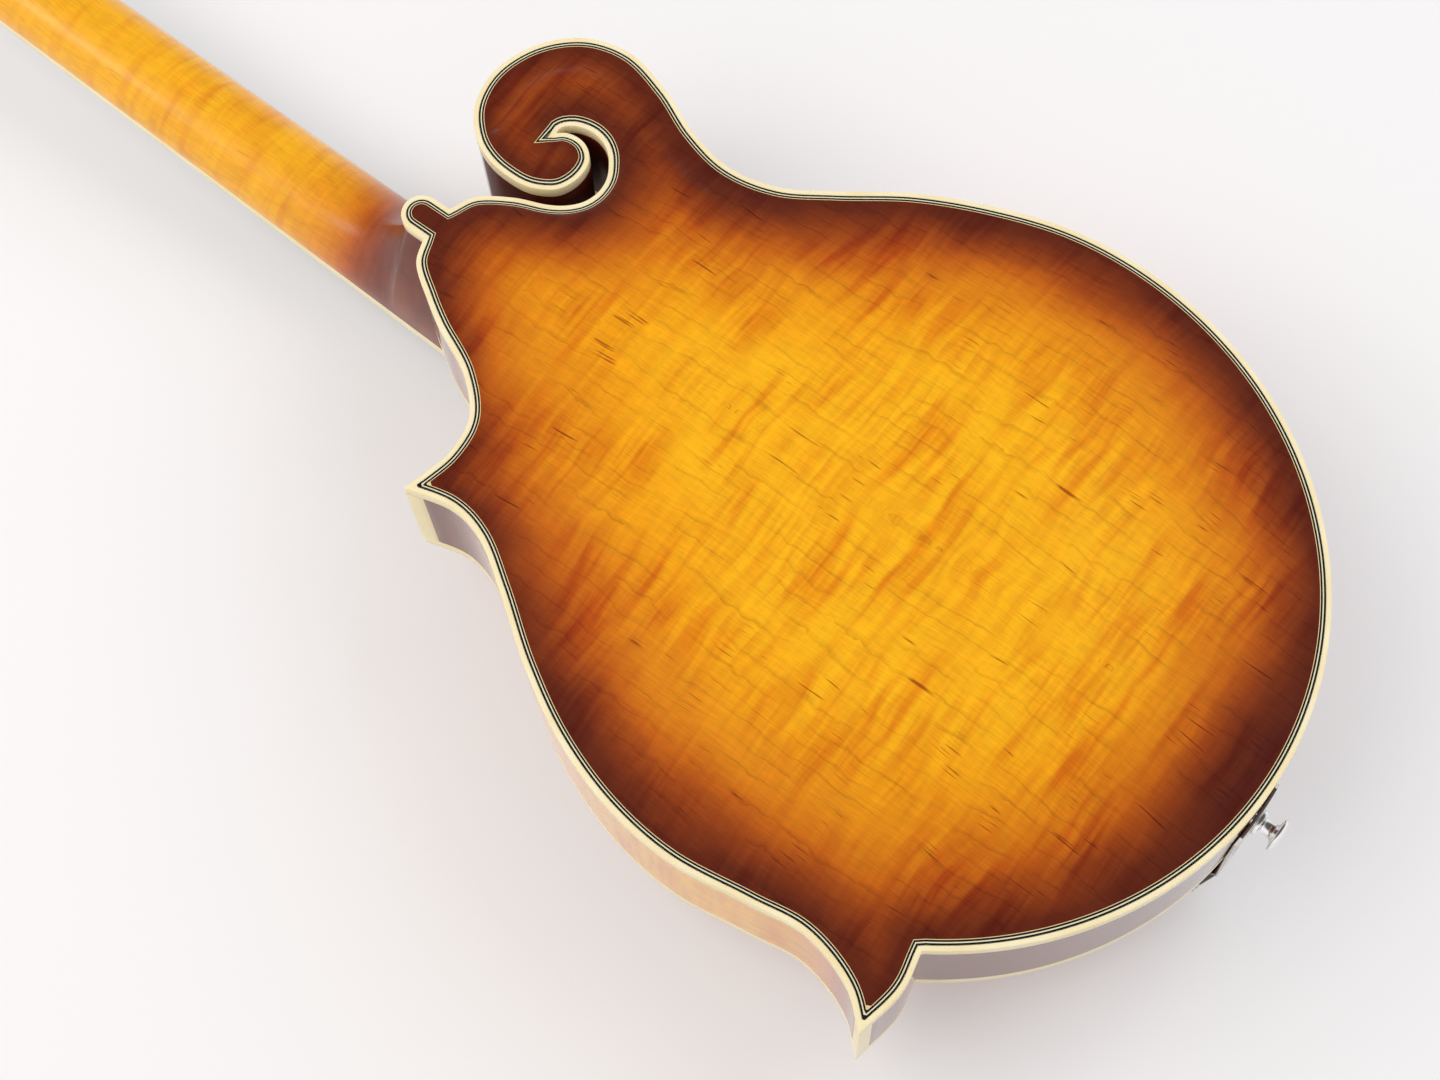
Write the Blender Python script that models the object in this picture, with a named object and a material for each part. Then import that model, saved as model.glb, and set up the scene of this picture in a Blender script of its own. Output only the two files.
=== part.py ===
"""Octave mandolin with a scroll body and two body points, carved top and back, in metres.

World frame: the origin is the middle of the neck at the nut, on the plane that the fingerboard is glued to. +Z runs
up the body towards the headstock, +X is the treble side with the two points, and +Y is the back of the instrument.
The neck is pitched back from the body, so neck pieces hang on one empty and body pieces on another.
"""

import math

import bmesh
import bpy
import numpy as np
from mathutils import Matrix, Vector
from mathutils.geometry import intersect_line_line_2d

MM = 0.001
GAP = 0.3 * MM

# String length and neck
SCALE_LENGTH = 559 * MM
JOINT_FRET = 15
LAST_FRET = 22
NECK_PITCH = math.radians(4)
NUT_WIDTH = 38 * MM
JOINT_WIDTH = 45 * MM
NECK_DEPTH_NUT = 15.5 * MM
NECK_DEPTH_JOINT = 19 * MM
NECK_SIDES = 12
GLUE_RISE = 10 * MM
BOARD_THICKNESS = 6 * MM
BOARD_BINDING = 1.5 * MM
BOARD_OVERHANG = 8 * MM
FRET_HEIGHT = 1 * MM
FRET_WIDTH = 2.4 * MM
NUT_LENGTH = 4 * MM
NUT_PROUD = 1.6 * MM
RISER_HALF_WIDTH = 16 * MM
RISER_LENGTH = 74 * MM
ROD_RADIUS = 3 * MM
ROD_CHANNEL_DEPTH = 8 * MM
ROD_CLEARANCE = 0.5 * MM
ROD_PAST_NUT = 12 * MM

# Headstock and tuners
HEAD_ANGLE = math.radians(14)
HEAD_START = 5 * MM
HEAD_THICKNESS = 15 * MM
OVERLAY_THICKNESS = 2 * MM
COVER_THICKNESS = 1.5 * MM
FIRST_POST = 30 * MM
POST_SPACING = 23 * MM
POSTS_PER_SIDE = 4
POST_X = 20 * MM
POST_RADIUS = 3 * MM
POST_PROUD = 15 * MM
POST_CLEARANCE = 0.4 * MM
GEAR_TEETH = 14
GEAR_RADIUS = 6.8 * MM
GEAR_ROOT = 5.8 * MM
GEAR_THICKNESS = 3.4 * MM
PLATE_THICKNESS = 1.3 * MM
PLATE_HALF_WIDTH = 9 * MM
PLATE_END = 13 * MM
WORM_RADIUS = 2.6 * MM
WORM_HALF = 4 * MM
SHAFT_RADIUS = 1.6 * MM
EAR_OFFSET = 6 * MM
EAR_THICKNESS = 1.6 * MM
EAR_HALF = 2.8 * MM
BUTTON_START = 21 * MM
BUTTON_LENGTH = 13 * MM
BUTTON_RADIUS = 8.5 * MM
BUTTON_FLATNESS = 0.62

# Body
BODY_WIDTH = 305 * MM
BODY_LENGTH = 398 * MM
SIDE_DEPTH = 57 * MM
PLATE_EDGE = 6 * MM
RIM_THICKNESS = 2.5 * MM
BINDING_WIDTH = 2.2 * MM
LINING_WIDTH = 5 * MM
LINING_HEIGHT = 9 * MM
TOP_ARCH = 17 * MM
BACK_ARCH = 16 * MM
RECURVE = 9 * MM
ARCH_RUN = 105 * MM
GRID = 24 * MM
BLOCK_CLEARANCE = 0.6 * MM
GUARD_THICKNESS = 1.4 * MM
GUARD_RUN = 7 * MM
BAR_WIDTH = 6 * MM
BAR_HEIGHT = 12 * MM
BAR_X = 30 * MM
BAR_ENDS = (-95, -335)

# Bridge
ACTION_AT_SADDLE = 5 * MM
BRIDGE_HALF_LENGTH = 64 * MM
BRIDGE_THICKNESS = 12 * MM
BRIDGE_BASE_HEIGHT = 8 * MM
BRIDGE_TIP_HEIGHT = 4 * MM
BRIDGE_FOOT_INNER = 24 * MM
BRIDGE_FOOT_RELIEF = 3 * MM
STUD_X = 30 * MM
STUD_RADIUS = 2 * MM
STUD_SINK = 3.5 * MM
STUD_CLEARANCE = 0.3 * MM
WHEEL_RADIUS = 8 * MM
WHEEL_THICKNESS = 2.4 * MM
WHEEL_LIFT = 2 * MM
SADDLE_HALF_LENGTH = 39 * MM
SADDLE_TRAVEL = 1.5 * MM
SADDLE_FOOT_WIDTH = 7.4 * MM
SADDLE_TOP_WIDTH = 4 * MM

# Tailpiece and strap button
TAIL_PLATE_WIDTH = 44 * MM
TAIL_PLATE_THICKNESS = 2 * MM
TAIL_PLATE_DROP = 13 * MM
TAIL_TAB_WIDTH = 20 * MM
TAIL_TAB_DROP = 29 * MM
TAIL_ARM_LENGTH = 95 * MM
TAIL_ARM_LIFT = 3 * MM
HOOK_WALL_HEIGHT = 4.6 * MM
HOOK_WALL_SETBACK = 13 * MM
EAR_WIDTH = 3.5 * MM
LID_WALL = 1.2 * MM
LID_HEIGHT = 10 * MM
HINGE_RADIUS = 1.2 * MM
HINGE_RISE = 3 * MM
HINGE_FROM_END = 5.5 * MM
STRAP_BUTTON_DROP = 20 * MM
STRAP_FLANGE_RADIUS = 5.5 * MM
STRAP_POST_RADIUS = 3.2 * MM
STRAP_HEAD_RADIUS = 7.3 * MM
STRAP_FACE_RADIUS = 4.5 * MM
STRAP_LENGTH = 10.5 * MM
STRAP_SHANK_RADIUS = 2.5 * MM
STRAP_SHANK_LENGTH = 22 * MM

# Strings, from bass to treble: radius, and the spread of the courses
STRING_RADII = (0.58 * MM, 0.43 * MM, 0.26 * MM, 0.14 * MM)
NUT_COURSE_SPACING = 10 * MM
NUT_PAIR_SPACING = 2.6 * MM
SADDLE_COURSE_SPACING = 14.5 * MM
SADDLE_PAIR_SPACING = 3.2 * MM
TAIL_COURSE_SPACING = 10 * MM
TAIL_PAIR_SPACING = 4 * MM
WINDING_HEIGHT = 5 * MM
WINDING_STEP = 1.8 * MM

# Outline of the back, drawn in millimetres: x to the treble side, z up from the line where the shoulders meet the heel
BOUT_HALF_WIDTH = 152.5
BOUT_CENTRE = -236.5
BOUT_FALL = 161.6
DRAWN_WIDTH = 2 * BOUT_HALF_WIDTH
DRAWN_LENGTH = BOUT_FALL - BOUT_CENTRE
LOWER_NOTCH_X = 124.3
HEEL_BUTTON_HALF = 8.3
HEEL_BUTTON_HEIGHT = 16.5
BASS_SHOULDER = (
    (-8.3, 0), (-18.6, -4.7), (-27.9, -17.7), (-34, -33.3), (-46.7, -42.3),
    (-62.3, -40.3), (-71.6, -27.9), (-69.3, -14.8), (-60.5, -11.5),
)
SCROLL_AND_WAIST = (
    (-60.5, -11.5), (-66.2, -22), (-55, -32.7), (-41.4, -25.6), (-35.5, -6.8), (-40.4, 12.2), (-52.2, 22.8),
    (-70, 26.8), (-90, 20.7), (-105, 5.9), (-110.2, -13.5), (-104.9, -36.5), (-95.5, -58.5), (-91.1, -79.5),
    (-95.4, -101.2), (-108, -121.7), (-126, -147.8), (-139.7, -176.5), (-149.5, -207), (-BOUT_HALF_WIDTH, BOUT_CENTRE),
)
LOWER_POINT_EDGE = ((LOWER_NOTCH_X, -330.4), (139.7, -333.3), (161.5, -329.8))
TREBLE_SIDE = (
    (161.5, -329.8), (150.6, -316.2), (144.3, -293), (147.6, -269.7), (BOUT_HALF_WIDTH, BOUT_CENTRE), (149.8, -206.2),
    (140.4, -175.7), (125.6, -147.4), (107.7, -120.9), (95.5, -100.3), (92.4, -84.7), (97.2, -64.3),
)
TREBLE_SHOULDER = (
    (97.2, -64.3), (86.5, -67.2), (74.7, -69), (59.5, -66), (45.4, -51.6),
    (35, -29.8), (27.9, -17.7), (18.6, -4.7), (8.3, 0),
)

# Corners of the inner blocks, drawn like the outline
BLOCKS = (
    ("neck_block", (-25, -44), (25, 2)),
    ("tail_block", (-34, -400), (34, -374)),
    ("point_block_upper", (74, -98), (100, -60)),
    ("point_block_lower", (124, -336), (164, -300)),
    ("scroll_block", (-112, -33), (-36.5, 30)),
)

SPLINE_STEPS = 2
BOUT_STEPS = 18
BUTTON_STEPS = 6
ROUND_CORNER = math.radians(40)
KNOT_SPAN = 9

# Headstock outline, one half, in millimetres above the start of the headstock
HEAD_HALF = ((19.5, 1), (22, 10), (31, 22), (34.5, 40), (35, 80), (37, 115), (41, 134), (34, 147), (17, 146), (0, 152))

# Centre line of the treble f-hole in the body frame, in millimetres, and its half widths along it
F_HOLE_LINE = ((50, -168), (44, -178), (55, -192), (64, -215), (74, -240), (84, -254), (78, -264))
F_HOLE_HALVES = (4.2, 4.6, 2.2, 3, 2.2, 5.2, 4.8)


def fret(number):
    """Distance from the nut to a fret."""
    return SCALE_LENGTH * (1 - 2 ** (-number / 12))


NUT_TO_JOINT = fret(JOINT_FRET)
BOARD_LENGTH = fret(LAST_FRET) + BOARD_OVERHANG
STRING_HEIGHT_NUT = GAP + BOARD_THICKNESS + NUT_PROUD
STRING_HEIGHT_SADDLE = GAP + BOARD_THICKNESS + FRET_HEIGHT + ACTION_AT_SADDLE


# Scene and frames
def clear_scene():
    for obj in list(bpy.data.objects):
        bpy.data.objects.remove(obj)


def empty(name, matrix, parent=None):
    frame = bpy.data.objects.new(name, None)
    bpy.context.scene.collection.objects.link(frame)
    frame.parent = parent
    frame.matrix_local = matrix
    return frame


clear_scene()
NECK_MATRIX = Matrix.Rotation(-NECK_PITCH, 4, "X")
HEAD_MATRIX = Matrix.Translation((0, 0, HEAD_START)) @ Matrix.Rotation(-HEAD_ANGLE, 4, "X")
joint_in_world = NECK_MATRIX @ Vector((0, 0, -NUT_TO_JOINT))
BODY_MATRIX = Matrix.Translation(joint_in_world + Vector((0, GLUE_RISE, 0)))
neck_frame = empty("neck_frame", NECK_MATRIX)
head_frame = empty("head_frame", HEAD_MATRIX, neck_frame)
body_frame = empty("body_frame", BODY_MATRIX)


# Materials
def material(name, colour, roughness, metallic=0.0):
    made = bpy.data.materials.new(name)
    made.use_nodes = True
    shader = made.node_tree.nodes["Principled BSDF"]
    shader.inputs["Base Color"].default_value = (*colour, 1)
    shader.inputs["Roughness"].default_value = roughness
    shader.inputs["Metallic"].default_value = metallic
    made.diffuse_color = (*colour, 1)
    return made


MAPLE_BACK = material("sunburst_maple", (0.75, 0.27, 0.02), 0.25)
SPRUCE_TOP = material("sunburst_spruce", (0.72, 0.33, 0.06), 0.3)
MAPLE_NECK = material("amber_maple", (0.72, 0.31, 0.03), 0.25)
RAW_WOOD = material("raw_spruce", (0.62, 0.44, 0.24), 0.7)
CREAM = material("cream_binding", (0.87, 0.76, 0.45), 0.35)
EBONY = material("ebony", (0.02, 0.016, 0.013), 0.4)
BONE = material("bone", (0.85, 0.8, 0.68), 0.4)
NICKEL = material("nickel", (0.75, 0.73, 0.7), 0.18, 1.0)
STEEL = material("steel", (0.55, 0.55, 0.56), 0.3, 1.0)
BRONZE = material("bronze", (0.6, 0.38, 0.18), 0.3, 1.0)
PEARLOID = material("pearloid", (0.86, 0.83, 0.74), 0.3)


# Outlines
def smooth(points, steps):
    """Points along a smooth curve through the given ones, without the last."""
    spots = [Vector(point) for point in points]
    spots = [2 * spots[0] - spots[1], *spots, 2 * spots[-1] - spots[-2]]
    found = []
    for a, b, c, d in zip(spots, spots[1:], spots[2:], spots[3:]):
        t1 = (b - a).length ** 0.5
        t2 = t1 + (c - b).length ** 0.5
        t3 = t2 + (d - c).length ** 0.5
        for step in range(steps):
            t = t1 + (t2 - t1) * step / steps
            ab = a.lerp(b, t / t1)
            bc = b.lerp(c, (t - t1) / (t2 - t1))
            cd = c.lerp(d, (t - t2) / (t3 - t2))
            abc = ab.lerp(bc, t / t2)
            bcd = bc.lerp(cd, (t - t1) / (t3 - t1))
            found.append(abc.lerp(bcd, (t - t1) / (t2 - t1)))
    return found


def drawn(point):
    """A drawn point at the body's size."""
    return Vector((point[0] * BODY_WIDTH / DRAWN_WIDTH, point[1] * BODY_LENGTH / DRAWN_LENGTH))


def body_outline(with_button):
    """The outer edge of the binding, from the treble notch over the heel, round the scroll and the tail."""
    loop = [Vector((HEEL_BUTTON_HALF, 0))]
    if with_button:
        centre = HEEL_BUTTON_HEIGHT - HEEL_BUTTON_HALF
        for step in range(BUTTON_STEPS + 1):
            turn = math.pi * step / BUTTON_STEPS
            loop.append(Vector((math.cos(turn), math.sin(turn))) * HEEL_BUTTON_HALF + Vector((0, centre)))
    loop += smooth(BASS_SHOULDER, SPLINE_STEPS)
    loop += smooth(SCROLL_AND_WAIST, SPLINE_STEPS)
    sweep = math.pi - math.acos(LOWER_NOTCH_X / BOUT_HALF_WIDTH)
    for step in range(BOUT_STEPS):
        turn = math.pi + sweep * step / BOUT_STEPS
        x = BOUT_HALF_WIDTH * math.cos(turn)
        loop.append(Vector((x, BOUT_CENTRE + BOUT_FALL * math.sin(turn))))
    loop += smooth(LOWER_POINT_EDGE, SPLINE_STEPS)
    loop += smooth(TREBLE_SIDE, SPLINE_STEPS)
    loop += smooth(TREBLE_SHOULDER, SPLINE_STEPS)
    return [drawn(point) for point in loop]


def segment_distance(x, z, loop):
    """Distance from a point to the nearest edge of a closed outline."""
    start = np.array([tuple(point) for point in loop])
    run = np.roll(start, -1, axis=0) - start
    reach = np.array((x, z)) - start
    share = np.clip((reach * run).sum(1) / (run * run).sum(1), 0, 1)
    return float(np.hypot(*(reach - share[:, None] * run).T).min())


def turned_left(vector):
    return Vector((-vector.y, vector.x))


def inset(loop, distance):
    """The outline moved in by a distance, round outside sharp corners. Points pushed past another edge are left out."""
    area = sum(a.x * b.y - b.x * a.y for a, b in zip(loop, loop[1:] + loop[:1]))
    sign = 1 if area > 0 else -1
    moved = []
    for index, point in enumerate(loop):
        into = turned_left((point - loop[index - 1]).normalized()) * sign
        out = turned_left((loop[(index + 1) % len(loop)] - point).normalized()) * sign
        turn = into.angle_signed(out) * -sign
        if turn * distance < 0 and abs(turn) > ROUND_CORNER:
            steps = math.ceil(abs(turn) / ROUND_CORNER)
            shifts = [Matrix.Rotation(turn * sign * step / steps, 2) @ into for step in range(steps + 1)]
        else:
            shifts = [(into + out) / max(1 + into.dot(out), 0.35)]
        for shift in shifts:
            spot = point + shift * distance
            if segment_distance(spot.x, spot.y, loop) > abs(distance) * 0.97:
                moved.append(spot)
    return unknotted(unknotted(moved))


def unknotted(loop):
    """The loop without the small knots that an inset makes in a narrow corner. It starts half a round later."""
    loop = loop[len(loop) // 2 :] + loop[: len(loop) // 2]
    index = 0
    while index < len(loop) - KNOT_SPAN - 1:
        for later in range(index + KNOT_SPAN, index + 1, -1):
            spot = intersect_line_line_2d(loop[index], loop[index + 1], loop[later], loop[later + 1])
            if spot is not None:
                loop[index + 1 : later + 1] = [spot]
                break
        index += 1
    return loop


BACK_OUTLINE = body_outline(True)
TOP_OUTLINE = body_outline(False)


def arch(x, z, height):
    """How far a carved plate stands proud of its edge at a point of the body frame."""
    rise = (segment_distance(x, z, TOP_OUTLINE) - RECURVE) / ARCH_RUN
    rise = min(max(rise, 0), 1)
    return height * (1 - (1 - rise) ** 2)


# Solids
def finish(name, bm, parent, slot, rounded=False):
    """Turns a bmesh into an object of the scene, in its parent's frame."""
    bmesh.ops.recalc_face_normals(bm, faces=bm.faces)
    mesh = bpy.data.meshes.new(name)
    bm.to_mesh(mesh)
    bm.free()
    return place(name, mesh, parent, slot, rounded)


def place(name, mesh, parent, slot, rounded=False):
    obj = bpy.data.objects.new(name, mesh)
    bpy.context.scene.collection.objects.link(obj)
    obj.parent = parent
    if slot and not mesh.materials:
        mesh.materials.append(slot)
    if rounded:
        mesh.shade_smooth()
        mesh.set_sharp_from_angle(angle=math.radians(40))
    return obj


def spot_on(axis, u, v, w):
    """A point from its place in a section and its place along the axis that the section is drawn across."""
    return {"X": (w, u, v), "Y": (u, w, v), "Z": (u, v, w)}[axis]


def prism_mesh(loops, low, high, axis):
    """A flat outline, with any holes, made thick along an axis."""
    bm = bmesh.new()
    edges = []
    for loop in loops:
        corners = [bm.verts.new(spot_on(axis, point[0], point[1], low)) for point in loop]
        edges += [bm.edges.new((corners[i - 1], corners[i])) for i in range(len(corners))]
    if len(loops) == 1:
        bm.faces.new(corners)
    else:
        bmesh.ops.triangle_fill(bm, use_beauty=True, edges=edges)
    raised = bmesh.ops.extrude_face_region(bm, geom=bm.faces[:])["geom"]
    shift = Vector(spot_on(axis, 0, 0, high - low))
    bmesh.ops.translate(bm, vec=shift, verts=[part for part in raised if isinstance(part, bmesh.types.BMVert)])
    return bm


def prism(name, loops, low, high, axis, parent, slot):
    return finish(name, prism_mesh(loops, low, high, axis), parent, slot)


def add_box(bm, low, high):
    size = Vector(high) - Vector(low)
    middle = (Vector(high) + Vector(low)) / 2
    matrix = Matrix.Translation(middle) @ Matrix.Diagonal((*size, 1))
    bmesh.ops.create_cube(bm, size=1, matrix=matrix)


def box(name, low, high, parent, slot):
    bm = bmesh.new()
    add_box(bm, low, high)
    return finish(name, bm, parent, slot)


def add_turned(bm, profile, axis, centre, sides, flatness=1.0):
    """A turned solid. The profile holds pairs of place along the axis and radius, from one end to the other."""
    rings = []
    for along, radius in profile:
        ring = []
        for side in range(sides):
            turn = 2 * math.pi * (side + 0.5) / sides
            u = radius * math.cos(turn)
            v = radius * math.sin(turn)
            ring.append(bm.verts.new(Vector(centre) + Vector(spot_on(axis, u * flatness, v, along))))
        rings.append(ring)
    for ring, following in zip(rings, rings[1:]):
        for side in range(sides):
            bm.faces.new((ring[side - 1], ring[side], following[side], following[side - 1]))
    bm.faces.new(rings[0])
    bm.faces.new(rings[-1])


def turned(name, profile, axis, centre, parent, slot, sides=16):
    bm = bmesh.new()
    add_turned(bm, profile, axis, centre, sides)
    return finish(name, bm, parent, slot, rounded=True)


def combine(target, tool, operation="DIFFERENCE"):
    """A live Boolean, with its tool kept out of renders."""
    tool.hide_render = True
    tool.display_type = "WIRE"
    modifier = target.modifiers.new(tool.name, "BOOLEAN")
    modifier.operation = operation
    modifier.object = tool
    modifier.solver = "EXACT"
    return target


def evaluated_mesh(obj, name):
    bpy.context.view_layer.update()
    graph = bpy.context.evaluated_depsgraph_get()
    mesh = bpy.data.meshes.new_from_object(obj.evaluated_get(graph))
    mesh.name = name
    return mesh


def bore(name, places, radius, low, high, axis, parent, sides=12):
    """One cutter for several round holes. A place holds the two coordinates across the axis."""
    bm = bmesh.new()
    for u, v in places:
        add_turned(bm, ((low, radius), (high, radius)), axis, spot_on(axis, u, v, 0), sides)
    return finish(name, bm, parent, None)


# Neck
def board_half_width(z):
    """Half the width of the neck at a distance below the nut, where z is negative."""
    share = min(-z / NUT_TO_JOINT, BOARD_LENGTH / NUT_TO_JOINT)
    return (NUT_WIDTH + (JOINT_WIDTH - NUT_WIDTH) * max(share, 0)) / 2


def neck_ring(bm, z, top, depth):
    """One cross section: flat under the fingerboard and round behind, pinched to a blade where it is the heel."""
    pinch = 1 + 1.2 * min(max((depth - NECK_DEPTH_JOINT) / (30 * MM), 0), 1)
    half = board_half_width(z)
    ring = []
    for side in range(NECK_SIDES):
        turn = math.pi * side / (NECK_SIDES - 1)
        across = math.copysign(abs(math.cos(turn)) ** pinch, math.cos(turn))
        ring.append(bm.verts.new((half * across, top + (depth - top) * math.sin(turn), z)))
    return ring


def neck_shaft():
    """The shaft and heel as one loft. Heel stations are given above the body joint."""
    joint = -NUT_TO_JOINT
    head_face = 9 * MM * math.tan(HEAD_ANGLE) + 0.4 * MM
    stations = [
        (HEAD_START + 9 * MM, head_face, NECK_DEPTH_NUT + 1.2 * MM),
        (HEAD_START, 0, NECK_DEPTH_NUT + 0.5 * MM),
        (0, 0, NECK_DEPTH_NUT),
        (joint * 0.45, 0, (NECK_DEPTH_NUT + NECK_DEPTH_JOINT) / 2),
    ]
    heel = ((78, 0), (58, 1.5), (44, 5), (34, 11), (27, 19), (21.5, 28), (18, 38), (16, 49), (-24, 49))
    for above, deeper in heel:
        stations.append((joint + above * MM, 0, NECK_DEPTH_JOINT + deeper * MM))
    bm = bmesh.new()
    rings = [neck_ring(bm, *station) for station in stations]
    for ring, following in zip(rings, rings[1:]):
        for side in range(NECK_SIDES):
            bm.faces.new((ring[side - 1], ring[side], following[side], following[side - 1]))
    bm.faces.new(rings[0])
    bm.faces.new(rings[-1])
    return finish("neck", bm, neck_frame, MAPLE_NECK, rounded=True)


def glue_plane(z):
    """Depth of the fingerboard's glue plane at a height of the body frame."""
    return -GLUE_RISE + z * math.tan(NECK_PITCH)


def head_outline():
    half = smooth([Vector(point) * MM for point in HEAD_HALF], 2)
    half.append(Vector(HEAD_HALF[-1]) * MM)
    mirrored = [Vector((-point.x, point.y)) for point in reversed(half[:-1])]
    return half + mirrored


POST_PLACES = [(side * POST_X, FIRST_POST + POST_SPACING * i) for side in (-1, 1) for i in range(POSTS_PER_SIDE)]


def build_neck():
    neck = neck_shaft()
    head = prism("headstock_tool", [head_outline()], 0, HEAD_THICKNESS, "Y", head_frame, None)
    combine(neck, head, "UNION")
    start = 6 * MM
    end = -RISER_LENGTH
    sink = 0.2 * MM
    foot = 2 * GAP
    riser = [(glue_plane(start) + sink, start), (foot, start), (foot, end), (glue_plane(end) + sink, end)]
    wedge = prism("riser_tool", [riser], -RISER_HALF_WIDTH, RISER_HALF_WIDTH, "X", body_frame, None)
    combine(neck, wedge, "UNION")
    past_end = end - start
    before = 2 * GAP
    over_top = [(2 * foot, before), (2 * foot, past_end)]
    steps = 6
    for step in range(steps, -1, -1):
        z = before + (past_end - before) * step / steps
        over_top.append((-arch(0, z, TOP_ARCH) - GAP, z))
    combine(neck, prism("over_top_tool", [over_top], -JOINT_WIDTH, JOINT_WIDTH, "X", body_frame, None))
    envelope = inset(TOP_OUTLINE, -GAP)
    combine(neck, prism("body_tool", [envelope], 0, SIDE_DEPTH * 1.5, "Y", body_frame, None))
    under = SIDE_DEPTH - PLATE_EDGE - GAP
    reach = JOINT_WIDTH
    combine(neck, box("heel_end_tool", (-reach, under, -reach), (reach, 2 * SIDE_DEPTH, reach), body_frame, None))
    half = ROD_RADIUS + ROD_CLEARANCE
    channel_low = (-half, -OVERLAY_THICKNESS * 4, -NUT_TO_JOINT - 8 * MM)
    channel_high = (half, ROD_CHANNEL_DEPTH, ROD_PAST_NUT + 10 * MM)
    channel = box("rod_channel_tool", channel_low, channel_high, neck_frame, None)
    combine(neck, channel)
    holes = bore(
        "post_hole_tool", POST_PLACES, POST_RADIUS + POST_CLEARANCE, -OVERLAY_THICKNESS * 3,
        HEAD_THICKNESS * 2, "Y", head_frame,
    )
    combine(neck, holes)
    face = [point for point in head_outline() if point.y > 8 * MM]
    overlay = prism("head_overlay", [face], -OVERLAY_THICKNESS - GAP, -GAP, "Y", head_frame, EBONY)
    combine(overlay, channel)
    combine(overlay, holes)
    build_truss_rod()


def build_truss_rod():
    middle = ROD_CHANNEL_DEPTH - ROD_RADIUS - GAP
    ends = (-NUT_TO_JOINT - 6 * MM, ROD_PAST_NUT)
    profile = [(along, ROD_RADIUS) for along in ends]
    turned("truss_rod", profile, "Z", (0, middle, 0), neck_frame, STEEL, 12)
    low = -OVERLAY_THICKNESS - 2 * GAP
    half = ((9.5, 9), (10, 16), (7, 24), (4.5, 32), (0, 35))
    right = [Vector(point) * MM for point in half]
    left = [Vector((-point.x, point.y)) for point in reversed(right[:-1])]
    prism("truss_cover", [right + left], low - COVER_THICKNESS, low, "Y", head_frame, EBONY)


def build_fingerboard():
    top = -GAP - BOARD_THICKNESS
    side = [(-GAP, -BOARD_LENGTH), (-GAP, -GAP), (top, -GAP)]
    for number in range(1, LAST_FRET + 1):
        z = -fret(number)
        crown = top - FRET_HEIGHT
        side += [(top, z + FRET_WIDTH / 2), (crown, z + FRET_WIDTH / 4)]
        side += [(crown, z - FRET_WIDTH / 4), (top, z - FRET_WIDTH / 2)]
    side.append((top, -BOARD_LENGTH))
    bm = bmesh.new()
    faces = []
    for sign in (-1, 1):
        corners = []
        for y, z in side:
            half = board_half_width(z) - BOARD_BINDING - GAP
            corners.append(bm.verts.new((sign * half, y, z)))
        faces.append(corners)
        bm.faces.new(corners)
    for i in range(len(side)):
        bm.faces.new((faces[0][i - 1], faces[0][i], faces[1][i], faces[1][i - 1]))
    finish("fingerboard", bm, neck_frame, EBONY)
    near = board_half_width(-GAP)
    far = board_half_width(-BOARD_LENGTH)
    end = -BOARD_LENGTH - GAP
    outer = [(near, -GAP), (far, end - BOARD_BINDING), (-far, end - BOARD_BINDING), (-near, -GAP)]
    inner = [(-near + BOARD_BINDING, -GAP), (-far + BOARD_BINDING, end)]
    inner += [(far - BOARD_BINDING, end), (near - BOARD_BINDING, -GAP)]
    prism("fingerboard_binding", [outer + inner], top, -GAP, "Y", neck_frame, CREAM)
    half = NUT_WIDTH / 2
    box("nut", (-half, -STRING_HEIGHT_NUT, GAP), (half, -GAP, NUT_LENGTH + GAP), neck_frame, BONE)


# Tuners
PLATE_BACK = HEAD_THICKNESS + GAP + PLATE_THICKNESS
GEAR_FRONT = PLATE_BACK + GAP + WORM_RADIUS - GEAR_THICKNESS / 2
GEAR_MIDDLE = GEAR_FRONT + GEAR_THICKNESS / 2
WORM_OFFSET = GEAR_RADIUS + WORM_RADIUS + GAP


def gear_outline():
    loop = []
    for step in range(2 * GEAR_TEETH):
        radius = GEAR_RADIUS if step % 2 == 0 else GEAR_ROOT
        for lean in (-0.22, 0.22):
            turn = math.pi * (step + lean) / GEAR_TEETH
            loop.append((radius * math.cos(turn), radius * math.sin(turn)))
    return loop


def post_mesh():
    """A string post with its gear on the same shaft, drawn about the post's axis."""
    low = -OVERLAY_THICKNESS - POST_PROUD
    tip = 0.6 * MM
    profile = [(low, POST_RADIUS - tip), (low + tip, POST_RADIUS), (GEAR_FRONT + GEAR_THICKNESS / 2, POST_RADIUS)]
    post = turned("post_draft", profile, "Y", (0, 0, 0), None, NICKEL, 12)
    gear = prism("gear_tool", [gear_outline()], GEAR_FRONT, GEAR_FRONT + GEAR_THICKNESS, "Y", None, None)
    mesh = evaluated_mesh(combine(post, gear, "UNION"), "string_post")
    bpy.data.objects.remove(post)
    bpy.data.objects.remove(gear)
    return mesh


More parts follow.
